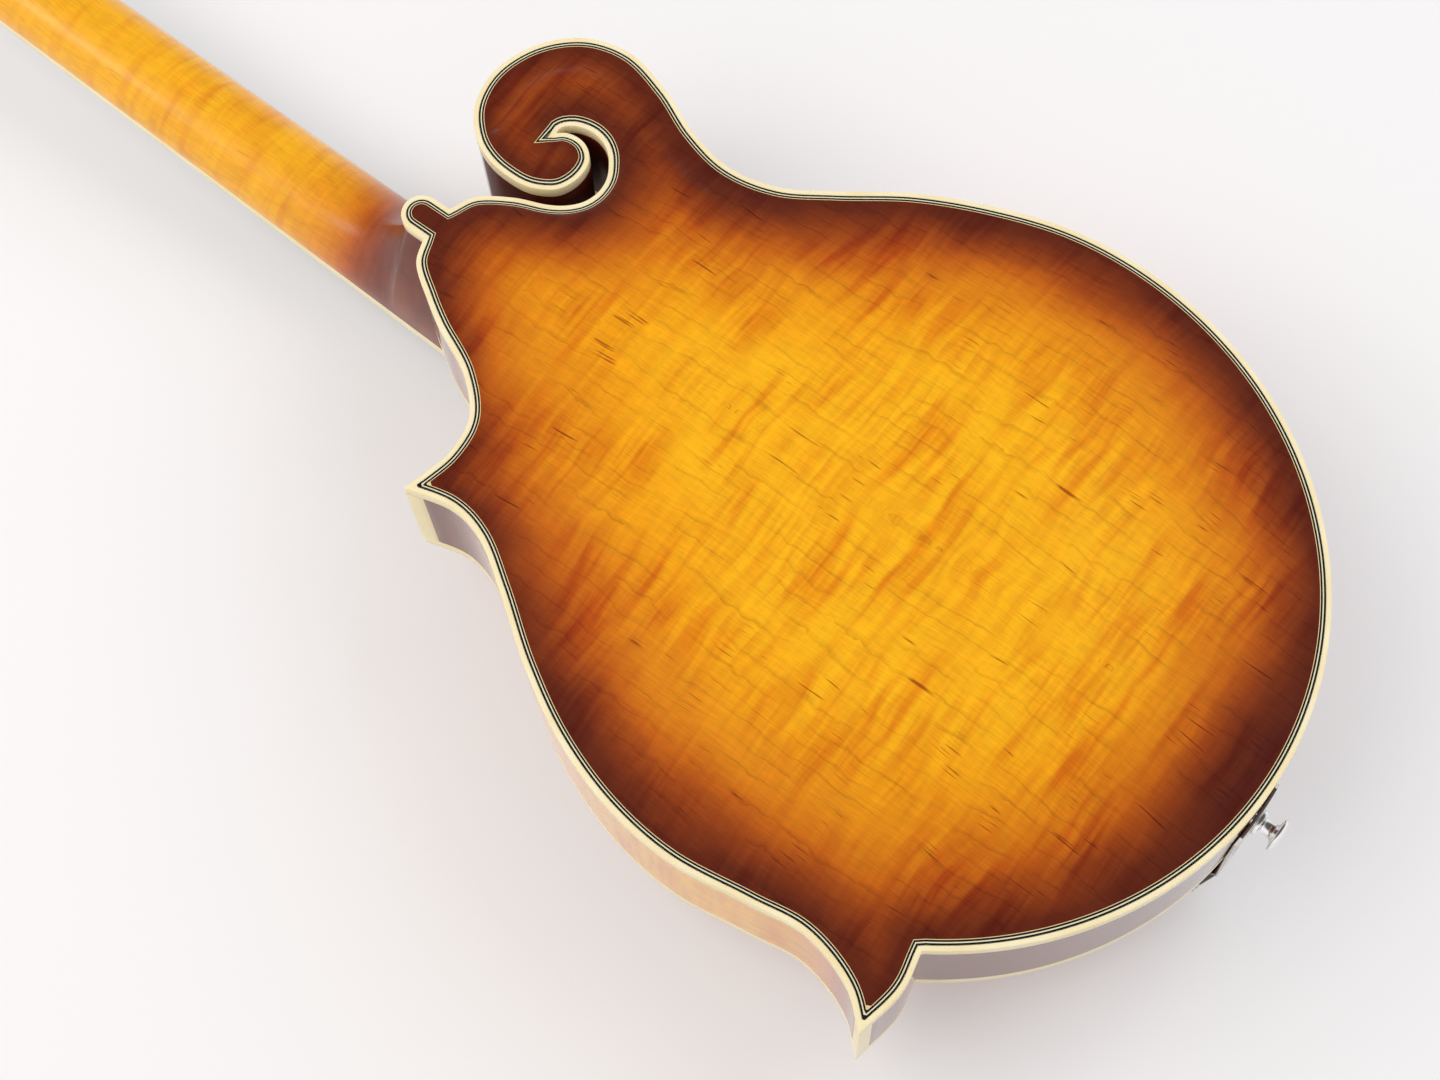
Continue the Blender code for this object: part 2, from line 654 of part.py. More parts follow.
def knob_mesh(side):
    """Worm, shaft and button, drawn about the post's axis on one side of the head."""
    profile = [
        (-EAR_OFFSET - EAR_THICKNESS, SHAFT_RADIUS), (-WORM_HALF, SHAFT_RADIUS), (-WORM_HALF, WORM_RADIUS),
        (WORM_HALF, WORM_RADIUS), (WORM_HALF, SHAFT_RADIUS), (BUTTON_START, SHAFT_RADIUS),
    ]
    bm = bmesh.new()
    add_turned(bm, [(along * side, radius) for along, radius in profile], "X", (0, 0, 0), 12)
    mesh = finish("shaft_draft", bm, None, PEARLOID, rounded=True)
    start = BUTTON_START - 1 * MM
    button = [(0, 0.45), (0.12, 0.8), (0.35, 1.0), (0.8, 1.0), (1, 0.72)]
    bm = bmesh.new()
    places = [((start + share * BUTTON_LENGTH) * side, width * BUTTON_RADIUS) for share, width in button]
    add_turned(bm, places, "X", (0, 0, 0), 12, BUTTON_FLATNESS)
    tool = finish("button_tool", bm, None, None)
    made = evaluated_mesh(combine(mesh, tool, "UNION"), "tuner_knob")
    bpy.data.objects.remove(mesh)
    bpy.data.objects.remove(tool)
    return made


def tuner_plate(name, side):
    """A strip behind the headstock with two ears to each worm shaft."""
    bm = bmesh.new()
    middle = side * POST_X
    low_z = FIRST_POST - PLATE_END
    high_z = FIRST_POST + (POSTS_PER_SIDE - 1) * POST_SPACING + WORM_OFFSET + PLATE_END / 2
    add_box(bm, (middle - PLATE_HALF_WIDTH, HEAD_THICKNESS + GAP, low_z), (middle + PLATE_HALF_WIDTH, PLATE_BACK, high_z))
    plate = finish(name, bm, head_frame, NICKEL)
    bm = bmesh.new()
    for i in range(POSTS_PER_SIDE):
        z = FIRST_POST + POST_SPACING * i + WORM_OFFSET
        for sign in (-1, 1):
            x = middle + sign * EAR_OFFSET
            low = (x - EAR_THICKNESS / 2, PLATE_BACK - PLATE_THICKNESS / 2, z - EAR_HALF)
            high = (x + EAR_THICKNESS / 2, GEAR_MIDDLE + EAR_HALF, z + EAR_HALF)
            add_box(bm, low, high)
    combine(plate, finish(name + "_ear_tool", bm, head_frame, None), "UNION")
    places = [place for place in POST_PLACES if place[0] * side > 0]
    radius = POST_RADIUS + POST_CLEARANCE
    combine(plate, bore(name + "_post_tool", places, radius, HEAD_THICKNESS / 2, GEAR_FRONT, "Y", head_frame))
    worms = [(GEAR_MIDDLE, z + WORM_OFFSET) for _, z in places]
    reach = EAR_OFFSET + 2 * EAR_THICKNESS
    shaft = SHAFT_RADIUS + GAP
    combine(plate, bore(name + "_shaft_tool", worms, shaft, middle - reach, middle + reach, "X", head_frame))


def build_tuners():
    post = post_mesh()
    for side, word in ((-1, "bass"), (1, "treble")):
        tuner_plate(f"tuner_plate_{word}", side)
        knob = knob_mesh(side)
        for i in range(POSTS_PER_SIDE):
            z = FIRST_POST + POST_SPACING * i
            turned_post = place(f"string_post_{word}_{i + 1}", post, head_frame, None, rounded=True)
            turned_post.location = (side * POST_X, 0, z)
            turned_knob = place(f"tuner_knob_{word}_{i + 1}", knob, head_frame, None, rounded=True)
            turned_knob.location = (side * POST_X, GEAR_MIDDLE, z + WORM_OFFSET)


# Body
def plate(name, outline, edge, side, height, slot):
    """A carved plate of even thickness: its flat outline is cut into a grid, and each point is lifted by the arch."""
    bm = bmesh.new()
    bm.faces.new([bm.verts.new((point.x, 0, point.y)) for point in outline])
    reach = round(max(BODY_WIDTH, BODY_LENGTH * 1.2) / GRID)
    for normal in (Vector((1, 0, 0)), Vector((0, 0, 1))):
        for line in range(-reach, reach + 1):
            whole = bm.verts[:] + bm.edges[:] + bm.faces[:]
            bmesh.ops.bisect_plane(bm, geom=whole, plane_co=normal * (line + 0.5) * GRID, plane_no=normal, dist=1e-5)
    for vert in bm.verts:
        vert.co.y = edge + side * arch(vert.co.x, vert.co.z, height)
    raised = bmesh.ops.extrude_face_region(bm, geom=bm.faces[:])["geom"]
    shift = Vector((0, -side * PLATE_EDGE, 0))
    bmesh.ops.translate(bm, vec=shift, verts=[part for part in raised if isinstance(part, bmesh.types.BMVert)])
    return finish(name, bm, body_frame, slot, rounded=True)


def f_hole_outline(mirror):
    """Both sides of a centre line at its half widths, with round ends."""
    stations = [Vector((*drawn(point), half * MM)) for point, half in zip(F_HOLE_LINE, F_HOLE_HALVES)]
    spine = smooth(stations, 3) + [stations[-1]]
    left, right = [], []
    for before, spot, after in zip(spine, spine[1:], spine[2:]):
        run = (after - before).to_2d().normalized()
        left.append(spot.to_2d() + turned_left(run) * spot.z)
        right.append(spot.to_2d() - turned_left(run) * spot.z)
    first = spine[0].to_2d() + (spine[0] - spine[1]).to_2d().normalized() * spine[0].z * 0.6
    last = spine[-1].to_2d() + (spine[-1] - spine[-2]).to_2d().normalized() * spine[-1].z * 0.6
    loop = [first, *left, last, *reversed(right)]
    return [Vector((point.x * mirror, point.y)) for point in loop]


def guard_loop(outline, tip, run, depth, proud):
    """A strip round a body point: along the outline to each side of the tip, and back at a depth inside it."""
    tip_index = min(range(len(outline)), key=lambda i: (outline[i] - tip).length)
    corner = outline[tip_index]
    arms = []
    for step in (-1, 1):
        flank = (outline[(tip_index + step) % len(outline)] - corner).normalized()
        arms.append(flank)
    bisector = (arms[0] + arms[1]).normalized()
    half_sine = math.sqrt(max(1 - bisector.dot(arms[0]) ** 2, 1e-6))
    outer_tip = corner - bisector * proud / half_sine
    inner_tip = corner + bisector * depth / half_sine
    loop = []
    for arm in arms:
        across = (bisector - arm * bisector.dot(arm)).normalized()
        near = corner + arm * run
        loop.append((near - across * proud, near + across * depth))
    return [outer_tip, loop[0][0], loop[0][1], inner_tip, loop[1][1], loop[1][0]]


def block(name, low, high, between_linings):
    """A block between two corners of the body frame. It fills the rim, and stands clear of both linings."""
    room = inset(TOP_OUTLINE, RIM_THICKNESS + GAP + LINING_WIDTH + BLOCK_CLEARANCE)
    front = PLATE_EDGE + GAP
    back = SIDE_DEPTH - PLATE_EDGE - GAP
    made = prism(name, [room], front, back, "Y", body_frame, RAW_WOOD)
    combine(made, between_linings, "UNION")
    low_corner = (drawn(low).x, 0, drawn(low).y)
    high_corner = (drawn(high).x, SIDE_DEPTH, drawn(high).y)
    return combine(made, box(name + "_tool", low_corner, high_corner, body_frame, None), "INTERSECT")


def build_body():
    back_face = SIDE_DEPTH
    ledge = BINDING_WIDTH + GAP
    top = plate("top_plate", inset(TOP_OUTLINE, ledge), 0, -1, TOP_ARCH, SPRUCE_TOP)
    for mirror, word in ((1, "treble"), (-1, "bass")):
        hole = f_hole_outline(mirror)
        combine(top, prism(f"f_hole_{word}_tool", [hole], -2 * TOP_ARCH, 2 * PLATE_EDGE, "Y", body_frame, None))
    plate("back_plate", inset(BACK_OUTLINE, ledge), back_face, 1, BACK_ARCH, MAPLE_BACK)
    for name, outline, low in (("binding_top", TOP_OUTLINE, 0), ("binding_back", BACK_OUTLINE, back_face - PLATE_EDGE)):
        loops = [outline, inset(outline, BINDING_WIDTH)]
        prism(name, loops, low, low + PLATE_EDGE, "Y", body_frame, CREAM)
    front = PLATE_EDGE + GAP
    back = SIDE_DEPTH - PLATE_EDGE - GAP
    rim = prism("rim", [TOP_OUTLINE, inset(TOP_OUTLINE, RIM_THICKNESS)], front, back, "Y", body_frame, MAPLE_BACK)
    shank = bore("shank_tool", [(0, STRAP_BUTTON_DROP)], STRAP_SHANK_RADIUS + GAP, -2 * BODY_LENGTH, -BODY_LENGTH / 2,
                 "Z", body_frame)
    combine(rim, shank)
    for word, tip in (("upper", TREBLE_SHOULDER[0]), ("lower", TREBLE_SIDE[0])):
        corner = drawn(tip)
        strip = guard_loop(TOP_OUTLINE, corner, GUARD_RUN, GUARD_THICKNESS, 0)
        prism(f"point_guard_{word}", [strip], front, back, "Y", body_frame, CREAM)
        room = guard_loop(TOP_OUTLINE, corner, GUARD_RUN + GAP, GUARD_THICKNESS + GAP, 2 * MM)
        combine(rim, prism(f"guard_{word}_tool", [room], front / 2, SIDE_DEPTH, "Y", body_frame, None))
    near = inset(TOP_OUTLINE, RIM_THICKNESS + GAP)
    far = inset(TOP_OUTLINE, RIM_THICKNESS + GAP + LINING_WIDTH)
    prism("lining_top", [near, far], front, front + LINING_HEIGHT, "Y", body_frame, RAW_WOOD)
    prism("lining_back", [near, far], back - LINING_HEIGHT, back, "Y", body_frame, RAW_WOOD)
    step = LINING_HEIGHT + BLOCK_CLEARANCE
    middle = prism("block_tool", [near], front + step, back - step, "Y", body_frame, None)
    for name, low, high in BLOCKS:
        made = block(name, low, high, middle)
        if name == "tail_block":
            combine(made, shank)
    for sign, word in ((-1, "bass"), (1, "treble")):
        tone_bar(f"tone_bar_{word}", sign * BAR_X)


def tone_bar(name, x):
    """A bar under the top, fitted to the hollow side of its arch and thinned towards both ends."""
    stations = 9
    start, end = (drawn((0, place)).y for place in BAR_ENDS)
    front, behind = [], []
    for step in range(stations):
        share = step / (stations - 1)
        z = start + (end - start) * share
        under = PLATE_EDGE + 3 * GAP - min(arch(x - BAR_WIDTH / 2, z, TOP_ARCH), arch(x + BAR_WIDTH / 2, z, TOP_ARCH))
        front.append((under, z))
        behind.append((under + BAR_HEIGHT * (0.35 + 0.65 * math.sin(math.pi * share)), z))
    loop = front + behind[::-1]
    prism(name, [loop], x - BAR_WIDTH / 2, x + BAR_WIDTH / 2, "X", body_frame, RAW_WOOD)


# Bridge
def in_body(neck_point):
    """A point of the neck frame, in the body frame."""
    return BODY_MATRIX.inverted() @ NECK_MATRIX @ Vector(neck_point)


SADDLE_SPOT = in_body((0, -STRING_HEIGHT_SADDLE, -SCALE_LENGTH))
BRIDGE_Z = SADDLE_SPOT.z
SADDLE_TOP = SADDLE_SPOT.y
BASE_TOP = -TOP_ARCH - 2 * GAP - BRIDGE_BASE_HEIGHT
WHEEL_BACK = BASE_TOP - WHEEL_LIFT
SADDLE_FOOT = WHEEL_BACK - WHEEL_THICKNESS - GAP


def build_bridge():
    half = BRIDGE_THICKNESS / 2
    steps = 8
    under, over = [], []
    for step in range(-steps, steps + 1):
        x = BRIDGE_HALF_LENGTH * step / steps
        relief = BRIDGE_FOOT_RELIEF if abs(x) < BRIDGE_FOOT_INNER else 0
        highest = max(arch(x, BRIDGE_Z - half, TOP_ARCH), arch(x, BRIDGE_Z + half, TOP_ARCH))
        under.append((x, -highest - 2 * GAP - relief))
        share = abs(step) / steps
        flat = min(max((share - 0.55) / 0.45, 0), 1)
        tip = -highest - 2 * GAP - BRIDGE_TIP_HEIGHT
        over.append((x, BASE_TOP + (tip - BASE_TOP) * flat))
    base = prism("bridge_base", [under + over[::-1]], BRIDGE_Z - half, BRIDGE_Z + half, "Z", body_frame, EBONY)
    studs = [(sign * STUD_X, BRIDGE_Z) for sign in (-1, 1)]
    hole = STUD_RADIUS + STUD_CLEARANCE
    stud_back = BASE_TOP + STUD_SINK
    stud_front = SADDLE_FOOT - STUD_SINK
    combine(base, bore("base_hole_tool", studs, hole, BASE_TOP - STUD_SINK, stud_back + GAP, "Y", body_frame))
    foot = SADDLE_FOOT_WIDTH / 2
    crest = SADDLE_TOP_WIDTH / 2
    section = [(SADDLE_FOOT, BRIDGE_Z - foot), (SADDLE_FOOT, BRIDGE_Z + foot)]
    shoulder = SADDLE_TOP + 0.6 * MM
    ridge = crest / 4
    section += [(shoulder, BRIDGE_Z + crest), (SADDLE_TOP, BRIDGE_Z + ridge)]
    section += [(SADDLE_TOP, BRIDGE_Z - ridge), (shoulder, BRIDGE_Z - crest)]
    saddle = prism("bridge_saddle", [section], -SADDLE_HALF_LENGTH, SADDLE_HALF_LENGTH, "X", body_frame, EBONY)
    saddle_hole_end = stud_front - SADDLE_TRAVEL - GAP
    combine(saddle, bore("saddle_hole_tool", studs, hole, saddle_hole_end, SADDLE_FOOT + STUD_SINK, "Y", body_frame))
    for sign, word in ((-1, "bass"), (1, "treble")):
        centre = (sign * STUD_X, 0, BRIDGE_Z)
        turned(f"bridge_stud_{word}", [(stud_front, STUD_RADIUS), (stud_back, STUD_RADIUS)], "Y", centre,
               body_frame, NICKEL, 12)
        wheel = bmesh.new()
        front = WHEEL_BACK - WHEEL_THICKNESS
        rims = ((front, 0.93), (front + 0.4 * MM, 1), (WHEEL_BACK - 0.4 * MM, 1), (WHEEL_BACK, 0.93))
        add_turned(wheel, [(along, WHEEL_RADIUS * share) for along, share in rims], "Y", (0, 0, 0), 24)
        disc = finish(f"bridge_wheel_{word}", wheel, body_frame, NICKEL, rounded=True)
        disc.location = centre
        tool = bore(f"wheel_{word}_tool", [(sign * STUD_X, BRIDGE_Z)], hole, front - MM, WHEEL_BACK + MM, "Y", body_frame)
        combine(disc, tool)


# Tailpiece
TAIL_END = -BODY_LENGTH
TAIL_FACE = TAIL_END - GAP
ARM_BACK = -TOP_ARCH - TAIL_ARM_LIFT
ARM_FRONT = ARM_BACK - TAIL_PLATE_THICKNESS
ARM_TIP = TAIL_FACE + TAIL_ARM_LENGTH
HOOK_Z = ARM_TIP - HOOK_WALL_SETBACK
HINGE_Y = ARM_FRONT - HINGE_RISE
HINGE_Z = TAIL_FACE + HINGE_FROM_END
HOOK_STRING_Y = ARM_FRONT - HOOK_WALL_HEIGHT + 1.6 * MM


def build_tailpiece():
    half = TAIL_PLATE_WIDTH / 2
    tab = TAIL_TAB_WIDTH / 2
    face = [(-half, ARM_FRONT), (half, ARM_FRONT), (half, TAIL_PLATE_DROP), (tab, TAIL_PLATE_DROP + 4 * MM)]
    face += [(tab, TAIL_TAB_DROP), (-tab, TAIL_TAB_DROP), (-tab, TAIL_PLATE_DROP + 4 * MM), (-half, TAIL_PLATE_DROP)]
    outside = TAIL_FACE - TAIL_PLATE_THICKNESS
    base = prism("tailpiece_base", [face], outside, TAIL_FACE, "Z", body_frame, NICKEL)
    inner = half - EAR_WIDTH
    bm = bmesh.new()
    add_box(bm, (-half, ARM_FRONT, outside), (half, ARM_BACK, ARM_TIP))
    combine(base, finish("arm_tool", bm, body_frame, None), "UNION")
    bm = bmesh.new()
    sink = TAIL_PLATE_THICKNESS / 2
    add_box(bm, (-inner, ARM_FRONT - HOOK_WALL_HEIGHT, HOOK_Z - 2 * MM), (inner, ARM_FRONT + sink, HOOK_Z))
    for sign in (-1, 1):
        ends = sorted((sign * half, sign * inner))
        reach = HINGE_RADIUS + 1.6 * MM
        add_box(bm, (ends[0], HINGE_Y - reach, HINGE_Z - reach), (ends[1], ARM_FRONT + sink, HINGE_Z + reach))
    combine(base, finish("hook_tool", bm, body_frame, None), "UNION")
    pin_room = HINGE_RADIUS + GAP
    lid_half = half + GAP + LID_WALL
    pin_hole = bore("hinge_tool", [(HINGE_Y, HINGE_Z)], pin_room, -2 * lid_half, 2 * lid_half, "X", body_frame)
    combine(base, pin_hole)
    shank_room = STRAP_SHANK_RADIUS + GAP
    hole = bore("strap_hole_tool", [(0, STRAP_BUTTON_DROP)], shank_room, TAIL_FACE - 9 * MM, TAIL_FACE + 9 * MM,
                "Z", body_frame)
    combine(base, hole)
    pin = [(-lid_half - MM, HINGE_RADIUS), (lid_half + MM, HINGE_RADIUS)]
    turned("tailpiece_hinge_pin", pin, "X", (0, HINGE_Y, HINGE_Z), body_frame, STEEL, 12)
    lid_front = ARM_FRONT - LID_HEIGHT
    lid_back = ARM_FRONT - GAP
    corner = 2.5 * MM
    section = [(-lid_half, lid_back), (-lid_half, lid_front + corner), (-lid_half + corner, lid_front)]
    section += [(lid_half - corner, lid_front), (lid_half, lid_front + corner), (lid_half, lid_back)]
    section += [(lid_half - LID_WALL, lid_back), (lid_half - LID_WALL, lid_front + corner + LID_WALL / 2)]
    section += [(lid_half - corner - LID_WALL / 2, lid_front + LID_WALL)]
    section += [(-lid_half + corner + LID_WALL / 2, lid_front + LID_WALL)]
    section += [(-lid_half + LID_WALL, lid_front + corner + LID_WALL / 2), (-lid_half + LID_WALL, lid_back)]
    lid_tail = HINGE_Z - 2.2 * MM
    lid = prism("tailpiece_lid", [section], lid_tail, ARM_TIP + 4 * MM, "Z", body_frame, NICKEL)
    combine(lid, pin_hole)


def build_strap_button():
    start = TAIL_FACE - TAIL_PLATE_THICKNESS - GAP
    end = start - STRAP_LENGTH
    profile = [
        (TAIL_END + STRAP_SHANK_LENGTH, STRAP_SHANK_RADIUS), (start, STRAP_SHANK_RADIUS), (start, STRAP_FLANGE_RADIUS),
        (start - 1.2 * MM, STRAP_FLANGE_RADIUS), (start - 1.4 * MM, STRAP_POST_RADIUS),
        (end + 2.6 * MM, STRAP_POST_RADIUS), (end + 1.9 * MM, STRAP_HEAD_RADIUS * 0.92),
        (end + 1.2 * MM, STRAP_HEAD_RADIUS), (end + 0.5 * MM, STRAP_HEAD_RADIUS * 0.85), (end, STRAP_FACE_RADIUS),
    ]
    turned("strap_button", profile, "Z", (0, STRAP_BUTTON_DROP, 0), body_frame, NICKEL, 20)


# Strings
def string(name, points, radius, slot):
    curve = bpy.data.curves.new(name, "CURVE")
    curve.dimensions = "3D"
    curve.bevel_depth = radius
    curve.bevel_resolution = 1
    curve.use_fill_caps = True
    spline = curve.splines.new("POLY")
    spline.points.add(len(points) - 1)
    for spot, point in zip(spline.points, points):
        spot.co = (*point, 1)
    curve.materials.append(slot)
    obj = bpy.data.objects.new(name, curve)
    bpy.context.scene.collection.objects.link(obj)


def build_strings():
    """Two strings to a course. The outer courses go to the nearest posts, so no string crosses another."""
    head = NECK_MATRIX @ HEAD_MATRIX
    names = ("G", "D", "A", "E")
    post_of = {0: (-1, 0), 1: (-1, 2), 2: (1, 2), 3: (1, 0)}
    for course, name in enumerate(names):
        radius = STRING_RADII[course]
        side, first = post_of[course]
        for pair in (0, 1):
            outward = side if pair == 0 else -side
            at_nut = (course - 1.5) * NUT_COURSE_SPACING + outward * NUT_PAIR_SPACING / 2
            at_saddle = (course - 1.5) * SADDLE_COURSE_SPACING + outward * SADDLE_PAIR_SPACING / 2
            at_tail = (course - 1.5) * TAIL_COURSE_SPACING + outward * TAIL_PAIR_SPACING / 2
            lift = radius + GAP
            nut_edge = GAP + NUT_LENGTH
            post_z = FIRST_POST + POST_SPACING * (first + pair)
            beside_post = side * (POST_X - POST_RADIUS - lift)
            winding = -OVERLAY_THICKNESS - WINDING_HEIGHT - WINDING_STEP * (first + pair)
            points = [
                BODY_MATRIX @ Vector((at_tail, HOOK_STRING_Y, HOOK_Z + GAP)),
                BODY_MATRIX @ Vector((at_saddle, SADDLE_TOP - lift, BRIDGE_Z)),
                NECK_MATRIX @ Vector((at_nut, -STRING_HEIGHT_NUT - lift, nut_edge)),
                head @ Vector((beside_post, winding, post_z)),
            ]
            slot = BRONZE if course < 2 else STEEL
            string(f"string_{name}{pair + 1}", points, radius, slot)


build_neck()
build_fingerboard()
build_tuners()
build_body()
build_bridge()
build_tailpiece()
build_strap_button()
build_strings()
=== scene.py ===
# %% [markdown]
# # An octave mandolin, dressed on its frame
# The CAD frame already holds every solid of the instrument in its place. This lesson gives each of them the shape and
# the finish that the eye expects: carved plates, bound edges, lacquered flamed maple, nickel hardware and strings.
# The instrument lies face down in the picture, so its back faces the camera. World axes: +Z runs up the neck,
# +X is the treble side with the two body points, and +Y is the back.

# %% Load the frame
import math

import bmesh
import bpy
import numpy as np
from mathutils import Matrix, Vector
from mathutils.geometry import delaunay_2d_cdt


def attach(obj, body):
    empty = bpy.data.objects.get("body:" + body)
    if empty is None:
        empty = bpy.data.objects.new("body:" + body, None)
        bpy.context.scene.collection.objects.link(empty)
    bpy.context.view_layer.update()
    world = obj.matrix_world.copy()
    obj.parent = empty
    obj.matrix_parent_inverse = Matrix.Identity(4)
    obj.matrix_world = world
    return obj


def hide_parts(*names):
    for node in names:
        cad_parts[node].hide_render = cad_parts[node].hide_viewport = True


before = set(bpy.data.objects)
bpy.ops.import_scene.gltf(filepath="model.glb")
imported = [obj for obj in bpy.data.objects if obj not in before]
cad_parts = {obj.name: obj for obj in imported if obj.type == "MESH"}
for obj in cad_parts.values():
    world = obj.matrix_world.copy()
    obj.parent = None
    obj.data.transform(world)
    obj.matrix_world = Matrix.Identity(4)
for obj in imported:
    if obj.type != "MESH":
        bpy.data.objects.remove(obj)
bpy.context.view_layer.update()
MM = 0.001

# %% [markdown]
# ## Three frames
# A neck is pitched back from the body by 4 degrees, and the headstock by 14 degrees more, so that the strings press on
# the nut and the bridge. Every piece could be placed by world numbers, but it is easier to draw a neck piece straight
# and tilt it afterwards. These matrices do that, and they match the frame's own empties.

# %% The frames of the neck, the headstock and the body
STRING_LENGTH = 559
NECK_PITCH, HEAD_PITCH = math.radians(4), math.radians(14)


def fret(number):
    """Distance in millimetres from the nut to a fret: each one shortens the string by the twelfth root of two."""
    return STRING_LENGTH * (1 - 2 ** (-number / 12))


JOINT = -fret(15)
NECK_FRAME = Matrix.Rotation(-NECK_PITCH, 4, "X")
HEAD_FRAME = NECK_FRAME @ Matrix.Translation((0, 0, 5 * MM)) @ Matrix.Rotation(-HEAD_PITCH, 4, "X")
BODY_FRAME = Matrix.Translation(NECK_FRAME @ Vector((0, 0, JOINT * MM)) + Vector((0, 10 * MM, 0)))
print("body frame stands at", [round(value / MM, 2) for value in BODY_FRAME.translation])

# %% [markdown]
# ## The camera
# The photograph was taken from above the tail with a slightly long lens. The straight sides and the flat rim gave its
# place: 60 mm of focal length on a sensor 36 mm wide, about 0.84 m above the back. The camera could be turned with
# three angles, but an aim point and the direction that is up in the picture are easier to read.

# %% Camera
camera_place = Vector((0.2955, 0.899, -0.7256))
camera_aim = Vector((0.0414, 0.0444, -0.4995))
picture_up = Vector((-0.74615, 0.36855, 0.55447))
backward = (camera_place - camera_aim).normalized()
rightward = picture_up.cross(backward).normalized()
upward = backward.cross(rightward)
lens = bpy.data.cameras.new("camera")
lens.lens = 60
lens.sensor_width = 36
camera = bpy.data.objects.new("camera", lens)
camera.matrix_world = Matrix((rightward, upward, backward)).transposed().to_4x4()
camera.matrix_world.translation = camera_place
bpy.context.scene.collection.objects.link(camera)
bpy.context.scene.camera = camera
print("camera is", round((camera_place - camera_aim).length, 3), "m from its aim")

# %% [markdown]
# ## Colours and nodes
# A colour is written as a painter reads it, as an sRGB hex value, and one function turns it to the linear numbers that
# the shader needs. One more function adds a node, with its settings, its links and the stops of a colour ramp. Wood
# and bone need noise that is drawn out along the grain, which is two nodes, so that has a helper as well.

# %% Helpers for materials


def colour(hex_value):
    """Linear red, green, blue and alpha of a hex colour."""
    parts = [int(hex_value[place : place + 2], 16) / 255 for place in (1, 3, 5)]
    linear = [part / 12.92 if part <= 0.04045 else ((part + 0.055) / 1.055) ** 2.4 for part in parts]
    return (*linear, 1)


def connect(tree, node, inputs):
    """Fills inputs of a node, each with a value, another node's first output or an output that is picked."""
    for name, value in inputs.items():
        if isinstance(value, bpy.types.Node):
            value = value.outputs[0]
        if isinstance(value, bpy.types.NodeSocket):
            tree.links.new(value, node.inputs[name])
        else:
            node.inputs[name].default_value = value


def add_node(tree, kind, inputs=None, stops=(), **settings):
    """A new node with its settings, its links and the stops of its colour ramp, each a place and a colour."""
    node = tree.nodes.new("ShaderNode" + kind)
    for name, value in settings.items():
        setattr(node, name, value)
    connect(tree, node, inputs or {})
    if stops:
        ramp = node.color_ramp
        while len(ramp.elements) < len(stops):
            ramp.elements.new(0.5)
        for element, (place, shade) in zip(ramp.elements, stops):
            element.position = place
            element.color = colour(shade)
    return node


def streaks(tree, place, per_metre, detail=2.0, distortion=0.0):
    """Noise that is drawn out along some axes. Its three numbers say how many waves of it fit in a metre."""
    drawn_out = add_node(tree, "Mapping", {"Vector": place, "Scale": per_metre})
    return add_node(tree, "TexNoise", {"Vector": drawn_out, "Scale": 1.0, "Detail": detail, "Distortion": distortion})


def new_material(name):
    """An empty material with its tree and its shader, ready for a finish."""
    made = bpy.data.materials.new(name)
    made.use_nodes = True
    made.node_tree.nodes.clear()
    shader = add_node(made.node_tree, "BsdfPrincipled")
    add_node(made.node_tree, "OutputMaterial", {"Surface": shader})
    return made, made.node_tree, shader


# %% [markdown]
# ## Floor and light
# The instrument lies face down on white paper, so the floor is a plane just under the strings, square to the back.
# It could be a solid sheet, but then the strings and the top, seen from the other side, would be hidden and dark.
# So it shows, and catches the shadow, only from the side that the instrument lies on, and light passes through it.
# A part of its white is a glow that only the camera and mirrors see, which keeps the shadow as pale as in the picture.
# The room's light is even, and half as strong above as below. A mirror sees a white room, which is dim only in the
# direction that the flat back shows the camera, so the lacquer stays deep in colour there and metal stays bright.

# %% Floor
FLOOR_Y = -0.0536
bpy.ops.mesh.primitive_plane_add(size=16, location=(0, FLOOR_Y, -0.45), rotation=(-math.pi / 2, 0, 0))
floor = bpy.context.object
floor.name = "floor"
floor_paper = bpy.data.materials.new("floor_paper")
floor_paper.use_nodes = True
tree = floor_paper.node_tree
tree.nodes.clear()
ray = add_node(tree, "LightPath").outputs
far_side = add_node(tree, "NewGeometry").outputs["Backfacing"]
seen = add_node(tree, "Math", {0: ray["Is Camera Ray"], 1: ray["Is Glossy Ray"]}, operation="ADD")
seen = add_node(tree, "Math", {0: seen, 1: ray["Is Transmission Ray"]}, operation="ADD", use_clamp=True)
seen = add_node(tree, "Math", {0: seen, 1: far_side}, operation="SUBTRACT", use_clamp=True)
paper = add_node(tree, "BsdfDiffuse", {"Color": colour("#F4F2F2")})
glow = add_node(tree, "Emission", {"Color": colour("#EEEDEF"), "Strength": 1.0})
paper = add_node(tree, "MixShader", {0: 0.3, 1: paper, 2: glow})
clear = add_node(tree, "BsdfTransparent")
add_node(tree, "OutputMaterial", {"Surface": add_node(tree, "MixShader", {0: seen, 1: clear, 2: paper})})
floor.data.materials.append(floor_paper)

